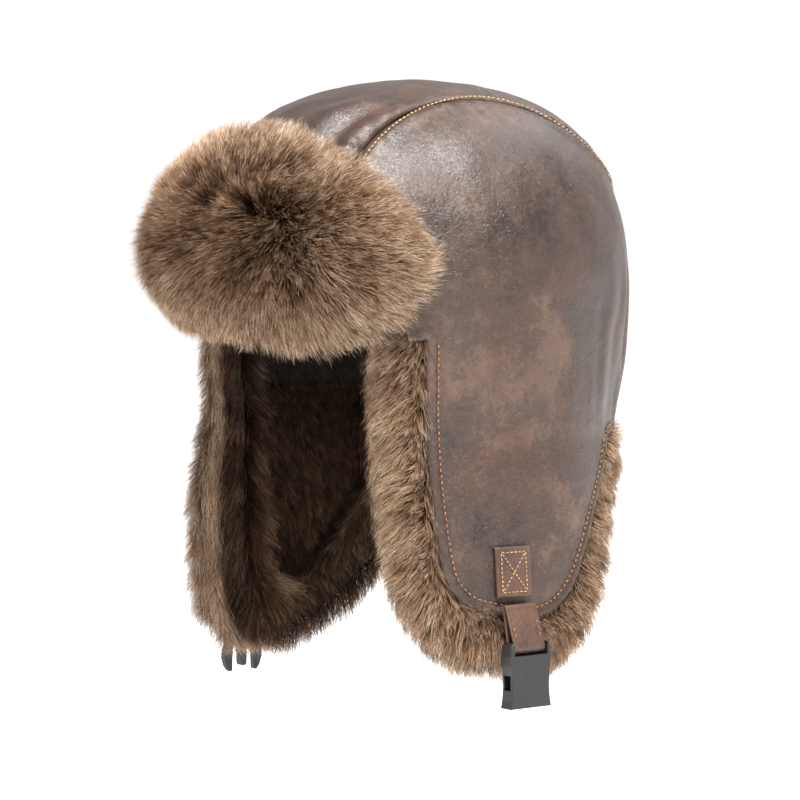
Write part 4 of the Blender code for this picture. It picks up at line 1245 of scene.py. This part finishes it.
def strap_tab(side):
    lo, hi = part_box("strap_tab_" + side)
    z0, z1, half = lo[2], hi[2], (hi[1] - lo[1]) / 2
    nu, nv = 45, 57
    U, V = np.meshgrid(np.linspace(-half, half, nu), np.linspace(z0, z1, nv), indexing="ij")
    P, N = tab_frame(side, U, V, -0.0016)
    P, N, U, V = P.reshape(-1, 3), N.reshape(-1, 3), U.ravel(), V.ravel()
    rim = np.minimum(half - np.abs(U), np.minimum(V - z0, z1 - V))
    box = np.stack([U, V - (z0 + z1) / 2], 1)
    bw, bh = half - 0.0030, (z1 - z0) / 2 - 0.0028
    q = np.abs(box) - [bw, bh]
    d_box = np.abs(np.maximum(q[:, 0], q[:, 1]))
    d_x = np.minimum(np.abs(box[:, 0] * bh - box[:, 1] * bw), np.abs(box[:, 0] * bh + box[:, 1] * bw)) / math.hypot(bw, bh)
    d = np.minimum(d_box, np.where(np.maximum(q[:, 0], q[:, 1]) < 0, d_x, 1.0))
    h = 0.0017 - 0.0007 * (1 - np.clip(rim / 0.0011, 0, 1)) ** 2 - 0.00042 * np.exp(-(d / 0.0008) ** 2)
    h = h + 0.00022 * noise(P, 0.006, 3) + 0.00012 * noise(P, 0.0026, 5)
    F = grid_faces(nu, nv)
    F = np.concatenate([F[:, [0, 1, 2]], F[:, [0, 2, 3]]])
    outer, inner = P + N * h[:, None], P - N * 0.0001
    e1, e2 = outer[F[:, 1]] - outer[F[:, 0]], outer[F[:, 2]] - outer[F[:, 0]]
    if (np.cross(e1, e2) * N[F[:, 0]]).sum() < 0:
        F = F[:, ::-1]
    verts, faces = close_sheet(outer, inner, F)
    ob = mesh_from("tab_" + side, verts, faces, STRAP)
    pr = 0.8 * np.exp(-(d / 0.0013) ** 2) + 0.5 * np.exp(-(rim / 0.0005) ** 2)
    pressed(ob, np.concatenate([pr, pr]))
    c = (z0 + z1) / 2
    lines = []
    for p, q in (((-bw, -bh), (bw, -bh)), ((bw, -bh), (bw, bh)), ((bw, bh), (-bw, bh)), ((-bw, bh), (-bw, -bh)),
                 ((-bw * .93, -bh * .93), (bw * .93, bh * .93)), ((-bw * .93, bh * .93), (bw * .93, -bh * .93))):
        f = np.linspace(0, 1, 20)[:, None]
        w = np.array(p) * (1 - f) + np.array(q) * f
        X, nx = tab_frame(side, w[:, 0], c + w[:, 1], -0.0016)
        lines.append((X + nx * 0.00150, nx))
    st = stitches("tab_stitches_" + side, lines, THREAD_PALE, pitch=0.0021, radius=0.00030, fill=0.72, seed=11)
    return ob, st


def strap(side):
    """The strap, folded round the buckle's bar and back up to the tab, with a line of stitches
    down each edge."""
    src = frame["nodes"]["strap_loop_" + side]
    co = np.array([list(v.co) for v in src.data.vertices])
    lo, hi = co.min(0), co.max(0)
    sign = 1 if side == "left" else -1
    half, yc, thick = (hi[1] - lo[1]) / 2, (hi[1] + lo[1]) / 2, 0.0012
    # the closed line the band follows: the middle of the solid's own two skins
    hinge = np.array([0.1090, 0, -0.0928])
    bar = np.array([0.1166, 0, -0.1155])
    top = hinge + [0.0022, 0, -0.0030]
    rb = hi[2] * 0 + (bar[2] - lo[2]) - thick / 2
    rt = 0.00095
    ax = bar - top
    length = math.hypot(ax[0], ax[2])
    d = np.array([ax[0], 0, ax[2]]) / length
    n = np.array([-d[2], 0, d[0]])
    lean = math.asin((rb - rt) / length)
    g1 = np.linspace(math.pi / 2 + lean, -(math.pi / 2 + lean), 25)
    g2 = np.linspace(-(math.pi / 2 + lean), -(math.pi / 2 + lean) - (math.pi - 2 * lean), 13)
    ring = np.vstack([bar + d * (rb * np.cos(g1))[:, None] + n * (rb * np.sin(g1))[:, None],
                      top + d * (rt * np.cos(g2))[:, None] + n * (rt * np.sin(g2))[:, None]])
    ring = respace(np.vstack([ring, ring[:1]]), 121)[:-1]
    ring[:, 0] *= sign
    tan = unit(np.roll(ring, -1, 0) - np.roll(ring, 1, 0))
    nrm = unit(np.cross(tan, [0, 1.0, 0]))
    mid = ring.mean(0)
    if ((ring - mid) * nrm).sum() < 0:
        nrm = -nrm
    sec = []
    rc = thick / 2
    for y in np.linspace(-half + rc, half - rc, 17):
        sec.append((y, rc))
    for g in (60, 30, 0, -30, -60):
        sec.append((half - rc + rc * math.cos(math.radians(g)), rc * math.sin(math.radians(g))))
    for y in np.linspace(half - rc, -half + rc, 17):
        sec.append((y, -rc))
    for g in (240, 210, 180, 150, 120):
        sec.append((-half + rc + rc * math.cos(math.radians(g)), rc * math.sin(math.radians(g))))
    sec = np.array(sec)
    V = ring[:, None] + nrm[:, None] * sec[None, :, 1:2] + np.array([0, 1.0, 0]) * (yc + sec[None, :, 0:1])
    flat = V.reshape(-1, 3)
    y = flat[:, 1] - yc
    face = (np.tile(sec[:, 1], len(ring)) > 0)
    de = np.abs(half - 0.0022 - np.abs(y))
    dip = 0.00022 * np.exp(-(de / 0.0007) ** 2) * face
    wav = 0.00012 * noise(flat, 0.005, 3) * face
    flat = flat + np.repeat(nrm, len(sec), 0) * (wav - dip)[:, None]
    F = grid_faces(len(ring), len(sec), wrap_u=True, wrap_v=True)
    if volume(flat, np.concatenate([F[:, [0, 1, 2]], F[:, [0, 2, 3]]])) < 0:
        F = F[:, ::-1]
    ob = mesh_from("strap_" + side, flat, [F], STRAP)
    pressed(ob, 0.7 * np.exp(-(de / 0.0010) ** 2) * face + 0.7 * (np.abs(y) > half - 0.0005))
    lines = []
    for e in (-1, 1):
        L = ring + nrm * (rc + 0.00002) + [0, yc + e * (half - 0.0022), 0]
        # only the long outer face, clear of the buckle's bar and the sewn end
        z = L[:, 2]
        out = (z > bar[2] + 0.0045) & (z < top[2] - 0.002) & ((ring[:, 0] - mid[0]) * sign > 0)
        k = np.where(out)[0]
        if len(k) > 4:
            k = k[np.argsort(z[k])]
            lines.append((L[k], nrm[k]))
    st = stitches("strap_stitches_" + side, lines, THREAD, pitch=0.0026, radius=0.00026, fill=0.66, seed=13)
    return ob, st


tabs = {side: strap_tab(side) for side in ("left", "right")}
straps = {side: strap(side) for side in ("left", "right")}


def fold(ob):
    """Bakes the piece's placement into its mesh; nothing is bent."""
    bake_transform(ob)


for side in ("left", "right"):
    st, es = side_parts[side][0][0], side_parts[side][1][0]
    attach(st, "crown")
    fold(es)
    fold(hides[side])
    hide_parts("crown_side_panel_" + side, "flap_leather_" + side)
    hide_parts("crown_seam_thread_" + side)
    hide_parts("flap_edge_thread_" + side)
    coats, hairs = trims[side]
    for k in range(3):
        for ob in [coats[k]] + hairs[k]:
            if k == 0:
                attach(ob, "crown")
            elif k == 1:
                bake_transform(ob)
            else:
                fold(ob)
    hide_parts("flap_trim_" + side, "temple_trim_" + side)
    if side == "left":
        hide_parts("nape_trim")
    coat, hairs = linings[side]
    for ob in [coat] + hairs:
        fold(ob)
    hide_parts("flap_lining_" + side)
for side in ("left", "right"):
    for ob, body, slot, node in ((tabs[side][0], "flap_", "shell_leather", "strap_tab_"), (tabs[side][1], "flap_", "stitch_thread", "strap_stitch_"),
                                 (straps[side][0], "strap_", "shell_leather", "strap_loop_"), (straps[side][1], "strap_", "stitch_thread", None)):
        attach(ob, body + side)
        if node:
            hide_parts(node + side)
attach(panel, "crown")
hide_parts("crown_centre_panel")
for ob in [crown_coat] + crown_hairs:
    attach(ob, "crown")
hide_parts("crown_lining")
for ob in [visor_coat] + visor_hairs:
    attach(ob, "visor")
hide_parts("visor_fur", "visor_wadding")
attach(visor_back, "visor")
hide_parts("visor_leather")

for name, ob in frame["nodes"].items():
    mat = (WADDING if "wadding" in name else ELASTIC if "elastic" in name else PLASTIC if "buckle" in name
           else THREAD if "thread" in name or "stitch" in name else STRAP if "strap" in name else LEATHER)
    ob.data.materials.clear()
    ob.data.materials.append(mat)

# ------------------------------------------------------------------ floor, light and camera
fm, fnt, fb = new_mat("pale_floor")
fb.inputs["Base Color"].default_value = (0.80, 0.80, 0.80, 1)
fb.inputs["Roughness"].default_value = 0.9
fb.inputs["Emission Color"].default_value = (1, 1, 1, 1)
fb.inputs["Emission Strength"].default_value = 0.55
floor = mesh_from("floor", np.array([[-9, -9, 0], [9, -9, 0], [9, 9, 0], [-9, 9, 0.0]]) + [0, 0, -0.215],
                  [np.array([[0, 1, 2, 3]])], fm, smooth=False)

world = bpy.data.worlds.new("studio")
scene.world = world
world.use_nodes = True
bg = world.node_tree.nodes["Background"]
bg.inputs["Color"].default_value = (1.0, 0.99, 0.975, 1)
bg.inputs["Strength"].default_value = 0.57
wn = world.node_tree
white = wn.nodes.new("ShaderNodeBackground")
white.inputs["Color"].default_value = (1, 1, 1, 1)
white.inputs["Strength"].default_value = 1.05
path, pick = wn.nodes.new("ShaderNodeLightPath"), wn.nodes.new("ShaderNodeMixShader")
wn.links.new(path.outputs["Is Camera Ray"], pick.inputs["Fac"])
wn.links.new(bg.outputs["Background"], pick.inputs[1])
wn.links.new(white.outputs["Background"], pick.inputs[2])
wn.links.new(pick.outputs["Shader"], wn.nodes["World Output"].inputs["Surface"])

CAM_A, CAM_E, CAM_D = math.radians(52.0), math.radians(4.5), 2.2
back = Vector((math.sin(CAM_A) * math.cos(CAM_E), -math.cos(CAM_A) * math.cos(CAM_E), math.sin(CAM_E)))
right = Vector((math.cos(CAM_A), math.sin(CAM_A), 0))
up = back.cross(right)


def lamp(name, at, size, power, colour=(1, 1, 1), aim=(0, 0, 0.02)):
    ld = bpy.data.lights.new(name, "AREA")
    ld.shape = "RECTANGLE"
    ld.size, ld.size_y = size
    ld.energy = power
    ld.color = colour
    ob = bpy.data.objects.new(name, ld)
    ob.location = Vector(at)
    ob.rotation_mode = "QUATERNION"
    ob.rotation_quaternion = (Vector(aim) - Vector(at)).to_track_quat("-Z", "Y")
    scene.collection.objects.link(ob)
    return ob


key = back * 0.97 + right * 0.35 + Vector((0, 0, 1.66))
lamp("key_softbox", key, (0.6, 0.6), 99, (1.0, 0.98, 0.95))
lamp("left_fill", back * 0.9 - right * 1.5 + Vector((0, 0, 0.5)), (1.0, 1.2), 10, (1.0, 0.98, 0.95))
lamp("back_rim", -back * 1.0 + right * 0.9 + Vector((0, 0, 1.4)), (0.8, 0.8), 10)

K = 0.525e-3
CX, CY = 411.0, 430.0
target = right * ((400 - CX) * K) + up * ((CY - 400) * K) - Vector((0, 0, 0.015))
cam_data = bpy.data.cameras.new("camera")
cam_data.sensor_width = 36.0
cam_data.lens = 36.0 * CAM_D / (800 * K)
cam = bpy.data.objects.new("camera", cam_data)
cam.location = target + back * CAM_D
cam.rotation_mode = "QUATERNION"
cam.rotation_quaternion = (-back).to_track_quat("-Z", "Y")
cam_data.clip_start, cam_data.clip_end = 0.05, 50
scene.collection.objects.link(cam)
scene.camera = cam
scene.view_settings.view_transform = "Standard"
scene.view_settings.look = "None"
